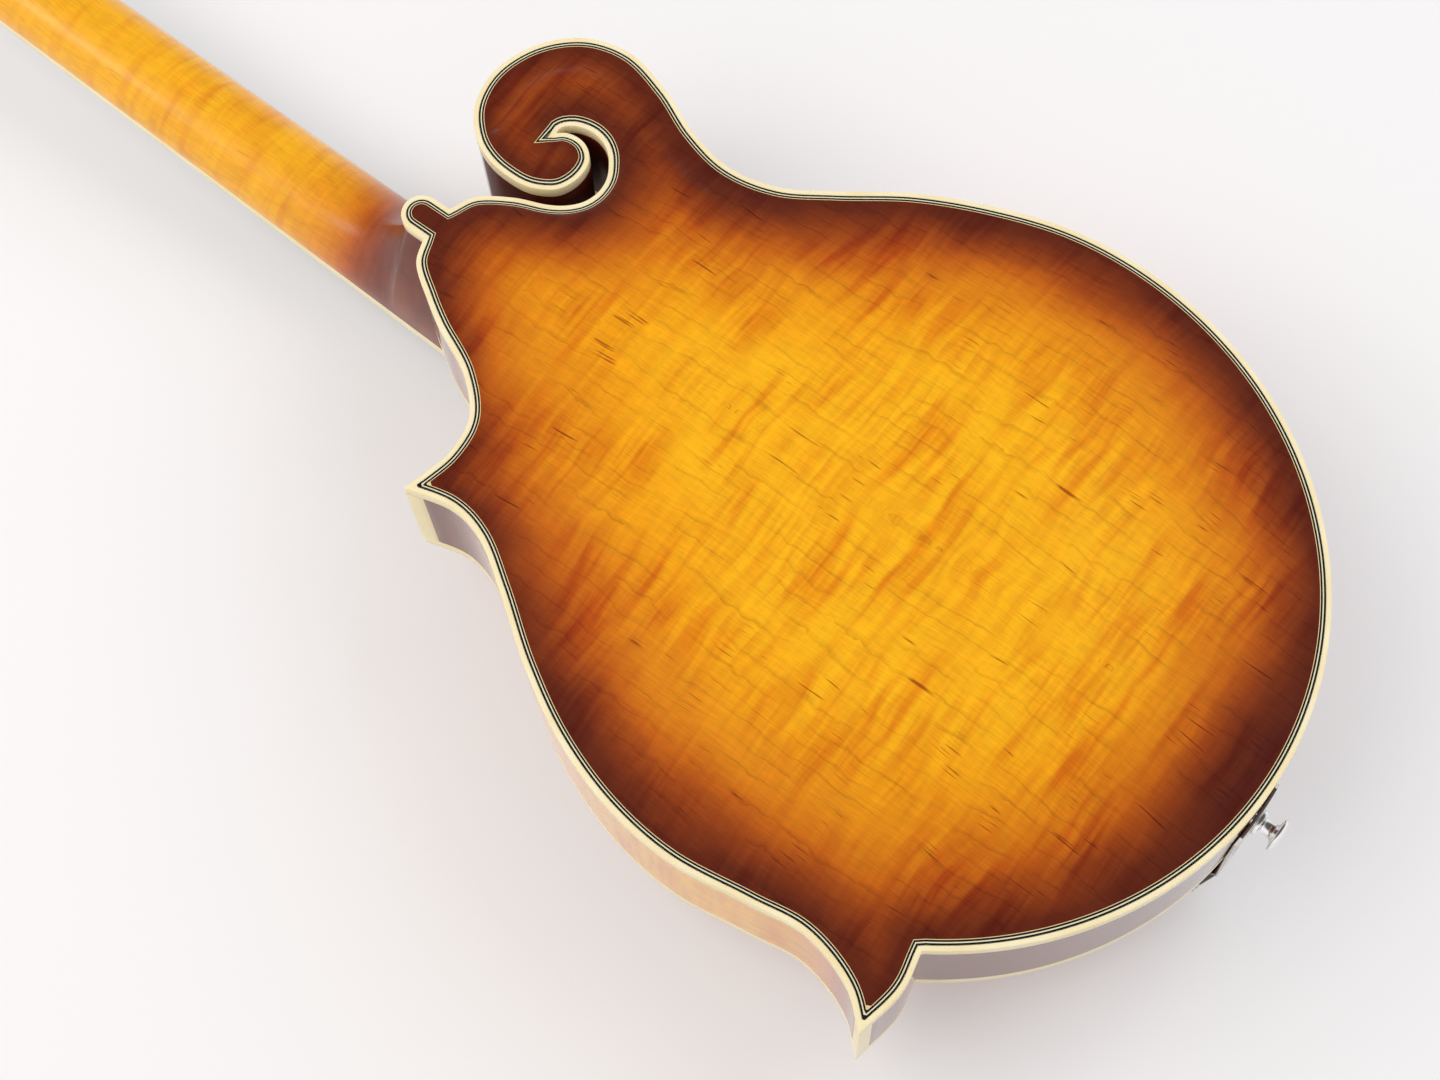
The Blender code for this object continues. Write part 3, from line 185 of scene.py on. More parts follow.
# %% World
BACK_MIRRORS = (-0.28, 0.93, 0.25)
scene = bpy.context.scene
scene.view_settings.view_transform = "Standard"
world = bpy.data.worlds.new("studio")
scene.world = world
world.use_nodes = True
tree = world.node_tree
tree.nodes.clear()
sight = add_node(tree, "TexCoord").outputs["Generated"]
nearness = add_node(tree, "VectorMath", {0: sight, 1: BACK_MIRRORS}, operation="DOT_PRODUCT").outputs["Value"]
mirrored = add_node(tree, "MapRange", {"Value": nearness, "From Min": 0.2, "From Max": 0.8, "To Min": 1.0,
                                       "To Max": 0.1}, interpolation_type="SMOOTHSTEP")
height = add_node(tree, "SeparateXYZ", {0: sight}).outputs["Y"]
spread = add_node(tree, "MapRange", {"Value": height, "From Min": -0.3, "From Max": 0.3, "To Min": 1.0,
                                     "To Max": 0.5}, interpolation_type="SMOOTHSTEP")
ray = add_node(tree, "LightPath").outputs
room = add_node(tree, "Mix", {"Factor": ray["Is Glossy Ray"], "A": spread, "B": mirrored}, data_type="FLOAT")
room = add_node(tree, "Background", {"Color": colour("#FFFFFF"), "Strength": room})
white = add_node(tree, "Background", {"Color": colour("#F1F0F1"), "Strength": 1.0})
sky = add_node(tree, "MixShader", {0: ray["Is Camera Ray"], 1: room, 2: white})
add_node(tree, "OutputWorld", {"Surface": sky})

# %% Lamps


def lamp(name, place, aim, size, power, tint, mirrored):
    """A square soft box that faces a point. Where it isn't mirrored, it leaves no glare on the lacquer."""
    light = bpy.data.lights.new(name, "AREA")
    light.shape = "SQUARE"
    light.size = size
    light.energy = power
    light.color = colour(tint)[:3]
    made = bpy.data.objects.new(name, light)
    made.location = place
    made.rotation_euler = (Vector(aim) - Vector(place)).to_track_quat("-Z", "Y").to_euler()
    made.visible_glossy = mirrored
    scene.collection.objects.link(made)


lamp("window_light", (0.9, 1.7, 0.3), (0, 0, -0.5), 1.6, 21, "#FFFAF4", False)
lamp("fill_light", (-1.3, 1.5, -1.1), (0, 0, -0.5), 1.6, 18, "#F6F8FF", False)
# The small box gives the neck its long highlight.
lamp("neck_light", (0.54, 0.78, 0.42), (0, 0, -0.15), 0.28, 0.9, "#FFFFFF", True)

# %% [markdown]
# ## The outline of the body
# Everything on the body follows one outline: shoulders, scroll with its slot, waist, round tail and two points. A
# maker draws it through a few marks with a flexible curve. Here a smooth curve runs through the same marks, in
# millimetres from the middle of the heel line, and sharp corners are simply places where one curve ends.

# %% Marks of the outline
BOUT_HALF = 152.5
BOUT_CENTRE = -236.5
BOUT_FALL = 161.6
BUTTON_HALF = 8.3
BASS_SHOULDER = ((-8.3, 0), (-18.6, -4.7), (-27.9, -17.7), (-33.6, -31), (-37.5, -37), (-43, -41.8), (-49.5, -43.9),
                 (-57, -43), (-64.1, -38.6), (-67.6, -35), (-70, -30.6), (-71, -25.4), (-70.4, -20.6), (-68.8, -16.6),
                 (-66.4, -13.8), (-64, -12.6), (-61.8, -12.8))
SLOT_AND_SCROLL = ((-61.8, -12.8), (-63.6, -14.7), (-65, -17.6), (-65.6, -21.4), (-65, -25.4), (-62.8, -29.3),
                   (-59.6, -32), (-54.6, -33.4), (-48.4, -33), (-42, -30.2), (-37.9, -25.2), (-35, -18.4),
                   (-34.2, -9.7), (-35.4, 1), (-40.2, 11.8))
SCROLL_BACK = ((-52.2, 22.8), (-70, 26.8), (-90, 20.7), (-105, 5.9), (-110.2, -13.5), (-104.9, -36.5),
               (-95.5, -58.5), (-91.1, -79.5), (-95.4, -101.2))
WAIST = ((-108, -121.7), (-126, -147.8), (-139.7, -176.5), (-149.5, -207), (-BOUT_HALF, BOUT_CENTRE))
LOWER_POINT_EDGE = ((124.3, -330.4), (139.7, -333.3), (161.5, -329.8))
TREBLE_SIDE = ((161.5, -329.8), (150.6, -316.2), (144.3, -293), (147.6, -269.7), (BOUT_HALF, BOUT_CENTRE),
               (149.8, -206.2), (140.4, -175.7), (125.6, -147.4), (107.7, -120.9), (95.5, -100.3), (92.4, -84.7),
               (97.2, -64.3))
TREBLE_SHOULDER = ((97.2, -64.3), (86.5, -67.2), (74.7, -69), (59.5, -66), (45.4, -51.6), (35, -29.8), (27.9, -17.7),
                   (18.6, -4.7), (8.3, 0))


def smooth_curve(marks, spacing, after=None):
    """Points about a spacing apart on a smooth curve through the marks, without the last mark."""
    marks = [Vector(mark) for mark in marks]
    beyond = Vector(after) if after else 2 * marks[-1] - marks[-2]
    marks = [2 * marks[0] - marks[1], *marks, beyond]
    points = []
    for a, b, c, d in zip(marks, marks[1:], marks[2:], marks[3:]):
        t1 = (b - a).length ** 0.5
        t2 = t1 + (c - b).length ** 0.5
        t3 = t2 + (d - c).length ** 0.5
        steps = max(round((c - b).length / spacing), 1)
        for step in range(steps):
            t = t1 + (t2 - t1) * step / steps
            ab, bc, cd = a.lerp(b, t / t1), b.lerp(c, (t - t1) / (t2 - t1)), c.lerp(d, (t - t2) / (t3 - t2))
            points.append(ab.lerp(bc, t / t2).lerp(bc.lerp(cd, (t - t1) / (t3 - t1)), (t - t1) / (t2 - t1)))
    return points


def body_outline(with_button, spacing=1.6):
    """The outer edge of the binding as an array of points, counter-clockwise. Only the back has the heel button."""
    loop = [Vector((BUTTON_HALF, 0))]
    if with_button:
        for step in range(17):
            turn = math.pi * step / 16
            loop.append(Vector((BUTTON_HALF * math.cos(turn), 8.2 + BUTTON_HALF * math.sin(turn))))
    loop += smooth_curve(BASS_SHOULDER, spacing)
    loop += smooth_curve(SLOT_AND_SCROLL + SCROLL_BACK + WAIST, spacing, after=(-149.6, -268))
    sweep = math.pi - math.acos(LOWER_POINT_EDGE[0][0] / BOUT_HALF)
    steps = round(sweep * BOUT_HALF / spacing)
    for step in range(steps):
        turn = math.pi + sweep * step / steps
        loop.append(Vector((BOUT_HALF * math.cos(turn), BOUT_CENTRE + BOUT_FALL * math.sin(turn))))
    for marks in (LOWER_POINT_EDGE, TREBLE_SIDE, TREBLE_SHOULDER):
        loop += smooth_curve(marks, spacing)
    # The marks put the tail at 398.1 mm, and the body is 398 mm long.
    return np.array([(point.x, point.y * 398 / 398.1) for point in loop])


def edge_distance(points, loop):
    """Distance from each point to the nearest edge of a closed loop."""
    run = np.roll(loop, -1, axis=0) - loop
    squares = (run * run).sum(1)
    nearest = []
    for chunk in np.array_split(points, max(len(points) // 800, 1)):
        reach = chunk[:, None] - loop[None]
        share = np.clip((reach * run).sum(2) / squares, 0, 1)
        nearest.append(np.hypot(*np.moveaxis(reach - share[..., None] * run, 2, 0)).min(1))
    return np.concatenate(nearest)


def inside_loop(points, loop):
    """True for each point inside a closed loop: a line to the right crosses the loop an odd number of times."""
    start, end = loop, np.roll(loop, -1, axis=0)
    found = []
    for chunk in np.array_split(points, max(len(points) // 800, 1)):
        x, z = chunk[:, :1], chunk[:, 1:]
        spans = (start[:, 1] > z) != (end[:, 1] > z)
        rise = np.where(end[:, 1] == start[:, 1], 1, end[:, 1] - start[:, 1])
        cross = start[:, 0] + (z - start[:, 1]) / rise * (end[:, 0] - start[:, 0])
        found.append((spans & (cross > x)).sum(1) % 2 == 1)
    return np.concatenate(found)


def inner_line(loop, distance):
    """The loop moved inwards with mitred corners. Points pushed past another edge are left out."""
    before = loop - np.roll(loop, 1, axis=0)
    after = np.roll(loop, -1, axis=0) - loop
    normals = []
    for run in (before, after):
        run = run / np.hypot(*run.T)[:, None]
        normals.append(np.stack((-run[:, 1], run[:, 0]), 1))
    agree = (normals[0] * normals[1]).sum(1)
    moved = loop + (normals[0] + normals[1]) / np.maximum(1 + agree, 0.12)[:, None] * distance
    return moved[edge_distance(moved, loop) > distance * 0.985]


BACK_LINE = body_outline(True)
TOP_LINE = body_outline(False)
print("outline points:", len(BACK_LINE), "and", len(TOP_LINE))

# %% [markdown]
# ## The arch of the carved plates
# The back and the top are carved from solid wood: flat at the edge, then swelling to the middle, with a raised ridge
# that follows the scroll. A subdivided cage could give a soft bulge, but not one that keeps its height along this
# outline. So the height is worked out on a grid, as a gouge and a scraper would: first a profile that depends only
# on the distance to the edge, then many small steps of smoothing, and last the ridge of the scroll.

# %% Height of a carved plate
CELL = 2.0
GRID_X = np.arange(-170, 176, CELL)
GRID_Z = np.arange(-408, 36, CELL)
grid_points = np.stack(np.meshgrid(GRID_X, GRID_Z, indexing="ij"), -1).reshape(-1, 2)
SCROLL_RIDGE = np.array([*SCROLL_BACK, (-90, -118)])


def ease(value, start, end):
    """0 before the start, 1 after the end, and a soft step between them."""
    share = np.clip((value - start) / (end - start), 0, 1)
    return share * share * (3 - 2 * share)


def smoothed(values, mask, steps):
    """Many small steps of evening out, with everything outside the mask held at nothing."""
    for _ in range(steps):
        around = np.zeros_like(values)
        for axis in (0, 1):
            around += np.roll(values, 1, axis) + np.roll(values, -1, axis)
        values = (values + 0.2 * (around - 4 * values)) * mask
    return values


def ridge_distance(points):
    """Distance to the outer side of the scroll."""
    runs = np.diff(SCROLL_RIDGE, axis=0)
    reach = points[:, None] - SCROLL_RIDGE[None, :-1]
    share = np.clip((reach * runs).sum(2) / (runs * runs).sum(1), 0, 1)
    return np.hypot(*np.moveaxis(reach - share[..., None] * runs, 2, 0)).min(1)


def carved(loop, height):
    """The height of a plate and the smoothed distance to its edge, as two grids in millimetres."""
    distance = np.where(inside_loop(grid_points, loop), edge_distance(grid_points, loop), 0)
    distance = distance.reshape(len(GRID_X), len(GRID_Z))
    mask = (distance > 0).astype(float)
    rise = np.clip((distance - 9) / 105, 0, 1)
    arch = smoothed(height * (1 - (1 - rise) ** 2), mask, 60)
    return arch * height / arch.max(), smoothed(distance, mask, 16)


def read_grid(grid, points):
    """The value of a grid at each point, blended from the four cells around it."""
    across = np.clip((points[:, 0] - GRID_X[0]) / CELL, 0, len(GRID_X) - 1.001)
    along = np.clip((points[:, 1] - GRID_Z[0]) / CELL, 0, len(GRID_Z) - 1.001)
    i, j = across.astype(int), along.astype(int)
    u, v = across - i, along - j
    low = grid[i, j] * (1 - u) + grid[i + 1, j] * u
    high = grid[i, j + 1] * (1 - u) + grid[i + 1, j + 1] * u
    return low * (1 - v) + high * v


def plate_height(points, edge, grid):
    """The arch at each point, level at the binding, with the scroll's ridge on it."""
    lift = read_grid(grid, points) * ease(edge, 2, 13)
    ridge = ridge_distance(points)
    near = 1 - ease(np.hypot(points[:, 0] + 70, points[:, 1] + 10), 42, 100)
    hollow = ease(ridge, 3, 9) * (1 - ease(ridge, 10, 17))
    return lift + near * ease(edge, 2, 7) * (1.5 * ease(ridge, 13.5, 18.5) - 0.55 * hollow)


back_arch, back_reach = carved(BACK_LINE, 15.9)
top_arch, top_reach = carved(TOP_LINE, 16.9)
print("arch of the back:", round(float(back_arch.max()), 1), "mm, of the top:", round(float(top_arch.max()), 1), "mm")

# %% [markdown]
# ## From lines to a plate
# The lacquered face shows four fine lines of purfling beside the binding. They could be separate strips of mesh, but
# half a millimetre of wood veneer lies flush under the lacquer, so it is drawn by the material from the distance to
# the edge. For that the mesh has a ring of points at each line. A constrained triangulation joins the rings, the
# f-holes and an even field of points inside them.

# %% Build a plate
PURFLING = (2.2, 2.95, 3.4, 4.15, 4.45)
# The edges of the f-holes and the hidden inner face are marked as farther in than any line.
UNLINED = 9.0


def field_points(loop, spacing, edge):
    """An even field of points in staggered rows, at least an edge away from the loop."""
    rows = []
    for row, z in enumerate(np.arange(-402, 30, spacing * 0.866)):
        xs = np.arange(-160, 166, spacing) + (row % 2) * spacing / 2
        rows.append(np.stack((xs, np.full_like(xs, z)), 1))
    points = np.concatenate(rows)
    points = points[inside_loop(points, loop)]
    return points[edge_distance(points, loop) > edge]


def mesh_of(bm, name):
    """Turns the faces of a closed shape outwards and keeps it as a mesh."""
    bmesh.ops.recalc_face_normals(bm, faces=bm.faces)
    mesh = bpy.data.meshes.new(name)
    bm.to_mesh(mesh)
    bm.free()
    return mesh


def plate_mesh(name, loop, arch, reach, base, outward, thickness, holes=()):
    """A closed carved shell with the distance to the edge, the burst and the grain stored at its points."""
    rings = [(inner_line(loop, distance), distance) for distance in (*PURFLING, 6.0, 8.5)]
    points, edges, marks = [], [], []
    for ring, distance in [*rings, *((hole, UNLINED) for hole in holes)]:
        first = len(points)
        points += [Vector(point) for point in ring]
        marks += [distance] * len(ring)
        edges += [(first + i, first + (i + 1) % len(ring)) for i in range(len(ring))]
    field = field_points(loop, 3.4, 10.5)
    for hole in holes:
        field = field[edge_distance(field, hole) > 1.6]
    points += [Vector(point) for point in field]
    spots, _, faces, sources, _, _ = delaunay_2d_cdt(points, edges, [], 0, 1e-4)
    flat = np.array([tuple(spot) for spot in spots])
    true_edge = edge_distance(flat, loop)
    edge = np.array([marks[source[0]] if source and source[0] < len(marks) else distance
                     for source, distance in zip(sources, true_edge)])
    centres = flat[np.array(faces)].mean(1)
    keep = inside_loop(centres, rings[0][0])
    for hole in holes:
        keep &= ~inside_loop(centres, hole)
    lift = plate_height(flat, true_edge, arch)
    bm = bmesh.new()
    kept_edge = bm.verts.layers.float.new("edge_mm")
    outer, inner = [[bm.verts.new((x * MM, (base + outward * (h - depth)) * MM, z * MM))
                     for (x, z), h in zip(flat, lift)] for depth in (0, thickness)]
    for vert, distance in zip(outer + inner, [*edge, *[UNLINED] * len(inner)]):
        vert[kept_edge] = distance
    for face, kept in zip(faces, keep):
        if kept:
            bm.faces.new([outer[i] for i in face])
            bm.faces.new([inner[i] for i in reversed(face)])
    number = {vert: i for i, vert in enumerate(outer)}
    for rim_edge in [part for part in bm.edges if part.is_boundary]:
        ends = [number.get(vert) for vert in rim_edge.verts]
        if None not in ends:
            bm.faces.new((outer[ends[0]], outer[ends[1]], inner[ends[1]], inner[ends[0]]))
    bmesh.ops.delete(bm, geom=[vert for vert in bm.verts if not vert.link_faces], context="VERTS")
    mesh = mesh_of(bm, name)
    place = np.array([tuple(vert.co) for vert in mesh.vertices])[:, [0, 2]] / MM
    store(mesh, "burst_mm", burst_depth(place, read_grid(reach, place), edge_distance(place, loop)))
    store_vector(mesh, "grain", np.stack((np.abs(place[:, 0]), np.zeros(len(place)), place[:, 1]), 1) * MM)
    return mesh


def store(mesh, name, values):
    """Keeps one number for each point of a mesh."""
    mesh.attributes.new(name, "FLOAT", "POINT").data.foreach_set("value", np.asarray(values, np.float32))


def store_vector(mesh, name, values):
    """Keeps a vector for each point of a mesh, such as its place along the grain."""
    kept = mesh.attributes.new(name, "FLOAT_VECTOR", "POINT")
    kept.data.foreach_set("vector", np.asarray(values, np.float32).ravel())


def burst_depth(points, soft_reach, true_reach):
    """How deep in the sunburst a point is. The finisher's gun went wider in some places and closer in others."""
    reach = true_reach + (soft_reach - true_reach) * ease(true_reach, 8, 30)
    for x, z, radius, change in BURST_PASSES:
        reach = reach + change * np.exp(-((points[:, 0] - x) ** 2 + (points[:, 1] - z) ** 2) / radius**2)
    return reach


BURST_PASSES = ((-80, -15, 48, 3), (-85, -75, 40, -3), (92, -308, 42, 5), (12, -330, 35, 7), (-60, -348, 35, 5),
                (0, -390, 48, -10), (36, -62, 34, 17), (0, -8, 20, -4), (92, -118, 50, 7), (0, -60, 40, 3))

# %% [markdown]
# ## Putting a finished piece in its place
# A piece is shaped near its own axis, then its frame is applied to the mesh, so that the object itself stands at the
# origin, unturned. The same call gives it a finish, hides the CAD solid that it stands for and ties it to the body
# that moves it.

# %% Settle a piece


def settle(obj, name, finish, body="instrument", stands_for=(), at=None, smooth=35):
    """Names a piece, applies its place, and gives it a finish and a body."""
    obj.name = obj.data.name = name
    obj.data.transform((at or Matrix()) @ obj.matrix_world)
    obj.matrix_world = Matrix()
    obj.data.materials.clear()
    obj.data.materials.append(finish)
    for face in obj.data.polygons:
        face.use_smooth = True
    obj.data.set_sharp_from_angle(angle=math.radians(smooth))
    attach(obj, body)
    if stands_for:
        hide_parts(*stands_for)
    return obj


def from_mesh(mesh):
    """A new object in the scene from a finished mesh."""
    obj = bpy.data.objects.new(mesh.name, mesh)
    scene.collection.objects.link(obj)
    return obj

# %% [markdown]
# ## Flamed maple under a sunburst lacquer
# Maple is pale, fine and even. Its flame is a wave in the fibres that shows as soft stripes across the grain, and thin
# growth lines and short dark flecks run along it. The sunburst is sprayed on: amber first, then orange and brown from
# the edge inwards, and clear lacquer over all. A photograph could be laid on, but noise stretched along the grain
# gives the same signs at any size, and the stored distance to the edge drives the burst.

# %% Maple


def with_purfling(tree, face):
    """Draws the fine black and white lines beside the binding over a wood, from the distance to the edge."""
    edge = add_node(tree, "Attribute", attribute_name="edge_mm").outputs["Fac"]
    edge = add_node(tree, "Math", {0: edge, 1: 0.1}, operation="MULTIPLY")
    starts = [start / 10 for start in (0, *PURFLING[:4])]
    shades = ("#F3E4B8", "#14171A", "#E2DAB8", "#14171A", "#E6CB94")
    strip = add_node(tree, "ValToRGB", {"Fac": edge}, stops=list(zip(starts, shades)))
    strip.color_ramp.interpolation = "CONSTANT"
    beyond = add_node(tree, "Math", {0: edge, 1: PURFLING[4] / 10}, operation="GREATER_THAN")
    return add_node(tree, "Mix", {"Factor": beyond, "A": strip, "B": face}, data_type="RGBA").outputs["Result"]


def sprayed(tree, depth, burst):
    """The colour of a sunburst at a depth in millimetres. The burst is a list of depths, each with its colour."""
    share = add_node(tree, "Math", {0: depth, 1: 0.01}, operation="MULTIPLY", use_clamp=True)
    return add_node(tree, "ValToRGB", {"Fac": share}, stops=[(place / 100, shade) for place, shade in burst])


def growth_lines(tree, wood, wander, swing, per_metre):
    """A saw-tooth that climbs from one growth line to the next across the grain, while noise makes them wander."""
    across = add_node(tree, "SeparateXYZ", {0: wood}).outputs["X"]
    across = add_node(tree, "Math", {0: across, 1: per_metre}, operation="MULTIPLY")
    for noise, width in zip(wander, swing):
        across = add_node(tree, "Math", {0: noise, 1: width, 2: across}, operation="MULTIPLY_ADD")
    return add_node(tree, "Math", {0: across}, operation="FRACT")


LACQUER = {"Coat Weight": 1.0, "Coat Roughness": 0.07, "Coat IOR": 1.48}


def maple(name, burst, flame, lined=1.0, purfled=False):
    """Lacquered maple. Flame and lined say how strong its stripes and its lines are."""
    made, tree, shader = new_material(name)
    grain = add_node(tree, "Attribute", attribute_name="grain").outputs["Vector"]
    depth = add_node(tree, "Attribute", attribute_name="burst_mm").outputs["Fac"]
    # Slow bends of the fibres, about 60 mm apart, move everything else a few millimetres.
    bend = add_node(tree, "TexNoise", {"Vector": grain, "Scale": 16.0, "Detail": 2.0})
    bend = add_node(tree, "VectorMath", {0: bend.outputs["Color"], 1: (0.5, 0.5, 0.5)}, operation="SUBTRACT")
    bend = add_node(tree, "VectorMath", {0: bend, 1: (0.008, 0.008, 0.012)}, operation="MULTIPLY")
    bent = add_node(tree, "VectorMath", {0: grain, 1: bend}, operation="ADD")

    # Flame: stripes 3 to 7 mm wide along the grain and 30 to 60 mm long across it, in patches.
    wide = streaks(tree, bent, (17, 17, 155), distortion=0.2)
    wide = add_node(tree, "MapRange", {"Value": wide, "From Min": 0.42, "From Max": 0.74})
    fine = streaks(tree, bent, (34, 34, 330), distortion=0.3)
    fine = add_node(tree, "MapRange", {"Value": fine, "From Min": 0.42, "From Max": 0.7})
    patch = add_node(tree, "TexNoise", {"Vector": bent, "Scale": 22.0, "Detail": 1.0})
    patch = add_node(tree, "MapRange", {"Value": patch, "From Min": 0.36, "From Max": 0.62, "To Min": 0.25})
    stripes = add_node(tree, "Math", {0: fine, 1: 0.5, 2: wide}, operation="MULTIPLY_ADD")
    stripes = add_node(tree, "Math", {0: stripes, 1: patch}, operation="MULTIPLY", use_clamp=True)
    stripes = add_node(tree, "Math", {0: stripes, 1: flame}, operation="MULTIPLY")

    # Growth lines: thin brown lines along the grain, about 8 mm apart, which wander, shiver and fade out in places.
    shiver = add_node(tree, "TexNoise", {"Vector": bent, "Scale": 130.0, "Detail": 2.0})
    rings = growth_lines(tree, bent, (shiver, streaks(tree, bent, (16, 16, 5))), (0.6, 3.6), 125.0)
    lines = add_node(tree, "MapRange", {"Value": rings, "From Min": 0.82, "From Max": 0.99, "To Max": 0.3 * lined})
    broken = streaks(tree, bent, (70, 70, 35), 1.0)
    broken = add_node(tree, "MapRange", {"Value": broken, "From Min": 0.4, "From Max": 0.6, "To Min": 0.15})
    lines = add_node(tree, "Math", {0: lines, 1: broken}, operation="MULTIPLY")

    # Flecks: dark dashes up to 1 mm wide and 20 mm long, in groups a centimetre or two across.
    flecks = streaks(tree, bent, (1250, 600, 46), 0.0)
    flecks = add_node(tree, "MapRange", {"Value": flecks, "From Min": 0.73, "From Max": 0.81, "To Max": 0.75 * lined})
    group = add_node(tree, "TexNoise", {"Vector": grain, "Scale": 75.0, "Detail": 0.0})
    group = add_node(tree, "MapRange", {"Value": group, "From Min": 0.52, "From Max": 0.62})
    flecks = add_node(tree, "Math", {0: flecks, 1: group}, operation="MULTIPLY")

    # Fibres: a faint streak about every 0.7 mm keeps the amber from looking like paint. The surface also drank the
    # amber unevenly, in soft spots 3 to 10 mm across.
    fibre = streaks(tree, bent, (1500, 900, 110))
    fibre = add_node(tree, "MapRange", {"Value": fibre, "From Min": 0.3, "From Max": 0.7, "To Min": 0.9,
                                        "To Max": 1.07})
    spots = streaks(tree, bent, (150, 150, 90), 3.0)
    spots = add_node(tree, "MapRange", {"Value": spots, "From Min": 0.3, "From Max": 0.7, "To Min": 0.94,
                                        "To Max": 1.04})
    fibre = add_node(tree, "Math", {0: fibre, 1: spots}, operation="MULTIPLY")

    # The spray: its edge is uneven by up to 8 mm, and a stripe drinks a little more colour.
    cloud = add_node(tree, "TexNoise", {"Vector": bent, "Scale": 30.0, "Detail": 3.0})
    cloud = add_node(tree, "MapRange", {"Value": cloud, "To Min": -8.0, "To Max": 8.0})
    depth = add_node(tree, "Math", {0: cloud, 1: depth}, operation="ADD")
    depth = add_node(tree, "Math", {0: stripes, 1: -3.5, 2: depth}, operation="MULTIPLY_ADD")
    wood = sprayed(tree, depth, burst)
    for share, tint in ((stripes, "#D98A45"), (lines, "#8A6A3E"), (flecks, "#96562C")):
        wood = add_node(tree, "Mix", {"Factor": share, "A": wood, "B": colour(tint)}, data_type="RGBA",
                        blend_type="MULTIPLY").outputs["Result"]
    wood = add_node(tree, "VectorMath", {0: wood, 1: fibre}, operation="MULTIPLY")
    # Lacquer sinks into the grain by a few hundredths of a millimetre.
    ripple = add_node(tree, "TexNoise", {"Vector": grain, "Scale": 180.0, "Detail": 2.0})
    sink = add_node(tree, "Bump", {"Height": ripple, "Strength": 0.05, "Distance": 0.001})
    connect(tree, shader, {"Base Color": with_purfling(tree, wood) if purfled else wood, "Roughness": 0.42,
                           "Specular IOR Level": 0.08, "Normal": sink, **LACQUER})
    return made, tree, shader


SUNBURST = ((0, "#571F12"), (9, "#66270F"), (16, "#84370E"), (23, "#A1490E"), (31, "#C4650D"), (45, "#E08A0E"),
            (62, "#F0A20E"), (88, "#F8B414"))
back_maple, tree, shader = maple("flamed_maple_sunburst_lacquer", SUNBURST, 0.72, purfled=True)
side_maple, tree, shader = maple("flamed_maple_side_lacquer", SUNBURST, 0.6)
polish = add_node(tree, "Attribute", attribute_name="polish")
connect(tree, shader, {"Coat Weight": polish.outputs["Fac"]})
# The neck is rubbed down to a satin, because a hand slides better on it.
neck_maple, tree, shader = maple("flamed_maple_neck_lacquer", SUNBURST, 0.42, lined=0.3)
connect(tree, shader, {"Coat Roughness": 0.27})

# %% [markdown]
# ## Cream binding
# The binding is celluloid sheet, bent round the edge while warm, glued and scraped flush. It is a warm ivory that
# yellows a little, with a soft polish and light that goes a short way into it. A plain colour would look like paint,
# so slow clouds of tone and a trace of scattering under the surface are added.

# %% Binding celluloid
cream, tree, shader = new_material("ivory_celluloid_binding")
place = add_node(tree, "TexCoord").outputs["Object"]
cloud = add_node(tree, "TexNoise", {"Vector": place, "Scale": 45.0, "Detail": 3.0})
tone = add_node(tree, "ValToRGB", {"Fac": cloud}, stops=[(0.3, "#F0DEAC"), (0.7, "#F7EAC4")])
scrape = add_node(tree, "TexNoise", {"Vector": place, "Scale": 260.0, "Detail": 1.0})
scrape = add_node(tree, "Bump", {"Height": scrape, "Strength": 0.06, "Distance": 0.001})
connect(tree, shader, {"Base Color": tone, "Roughness": 0.28, "IOR": 1.5, "Subsurface Weight": 0.12,
                       "Subsurface Radius": (0.9, 0.6, 0.3), "Subsurface Scale": 0.0012, "Normal": scrape})

# %% [markdown]
# ## The back
# One carved plate of flamed maple, joined down the middle like an open book, so its figure is mirrored there.

# %% Back plate
BACK_FACE = 57.0
back = from_mesh(plate_mesh("back", BACK_LINE, back_arch, back_reach, BACK_FACE, 1, 4.6))
settle(back, "carved_back", back_maple, stands_for=["back_plate"], at=BODY_FRAME, smooth=60)
print("back:", len(back.data.polygons), "faces")

# %% [markdown]
# ## The bound edges and the sides
# Binding strips, 2.2 mm wide and 6 mm deep, run round the back and the top, and between them the bent sides are flush
# with them. A curve with a profile would slip at the sharp points. Here the outline is filled between two rings,
# raised straight, and only its outer edge is rounded, as a scraper leaves it.

# %% Binding strips
BINDING_DEEP = 6.0
SIDES_BACK = BACK_FACE - BINDING_DEEP


def only(*wanted):
    """Selects the given objects and nothing else. The first one is the active one."""
    for other in bpy.context.selected_objects:
        other.select_set(False)
    for obj in wanted:
        obj.select_set(True)
    if wanted:
        bpy.context.view_layer.objects.active = wanted[0]


def raised(bm, name, rise):
    """Pulls the faces of a flat shape up along a vector, which makes it a solid object."""
    pulled = bmesh.ops.extrude_face_region(bm, geom=bm.faces[:])["geom"]
    bmesh.ops.translate(bm, vec=rise, verts=[part for part in pulled if isinstance(part, bmesh.types.BMVert)])
    return from_mesh(mesh_of(bm, name))


def ring_solid(name, outer, inner, low, high):
    """A solid band between two outlines, from one depth of the body to another."""
    bm = bmesh.new()
    edges = []
    for loop in (outer, inner):
        corners = [bm.verts.new((x * MM, low * MM, z * MM)) for x, z in loop]
        edges += [bm.edges.new((corners[i - 1], corners[i])) for i in range(len(corners))]
    bmesh.ops.triangle_fill(bm, use_beauty=True, edges=edges)
    return raised(bm, name, (0, (high - low) * MM, 0))


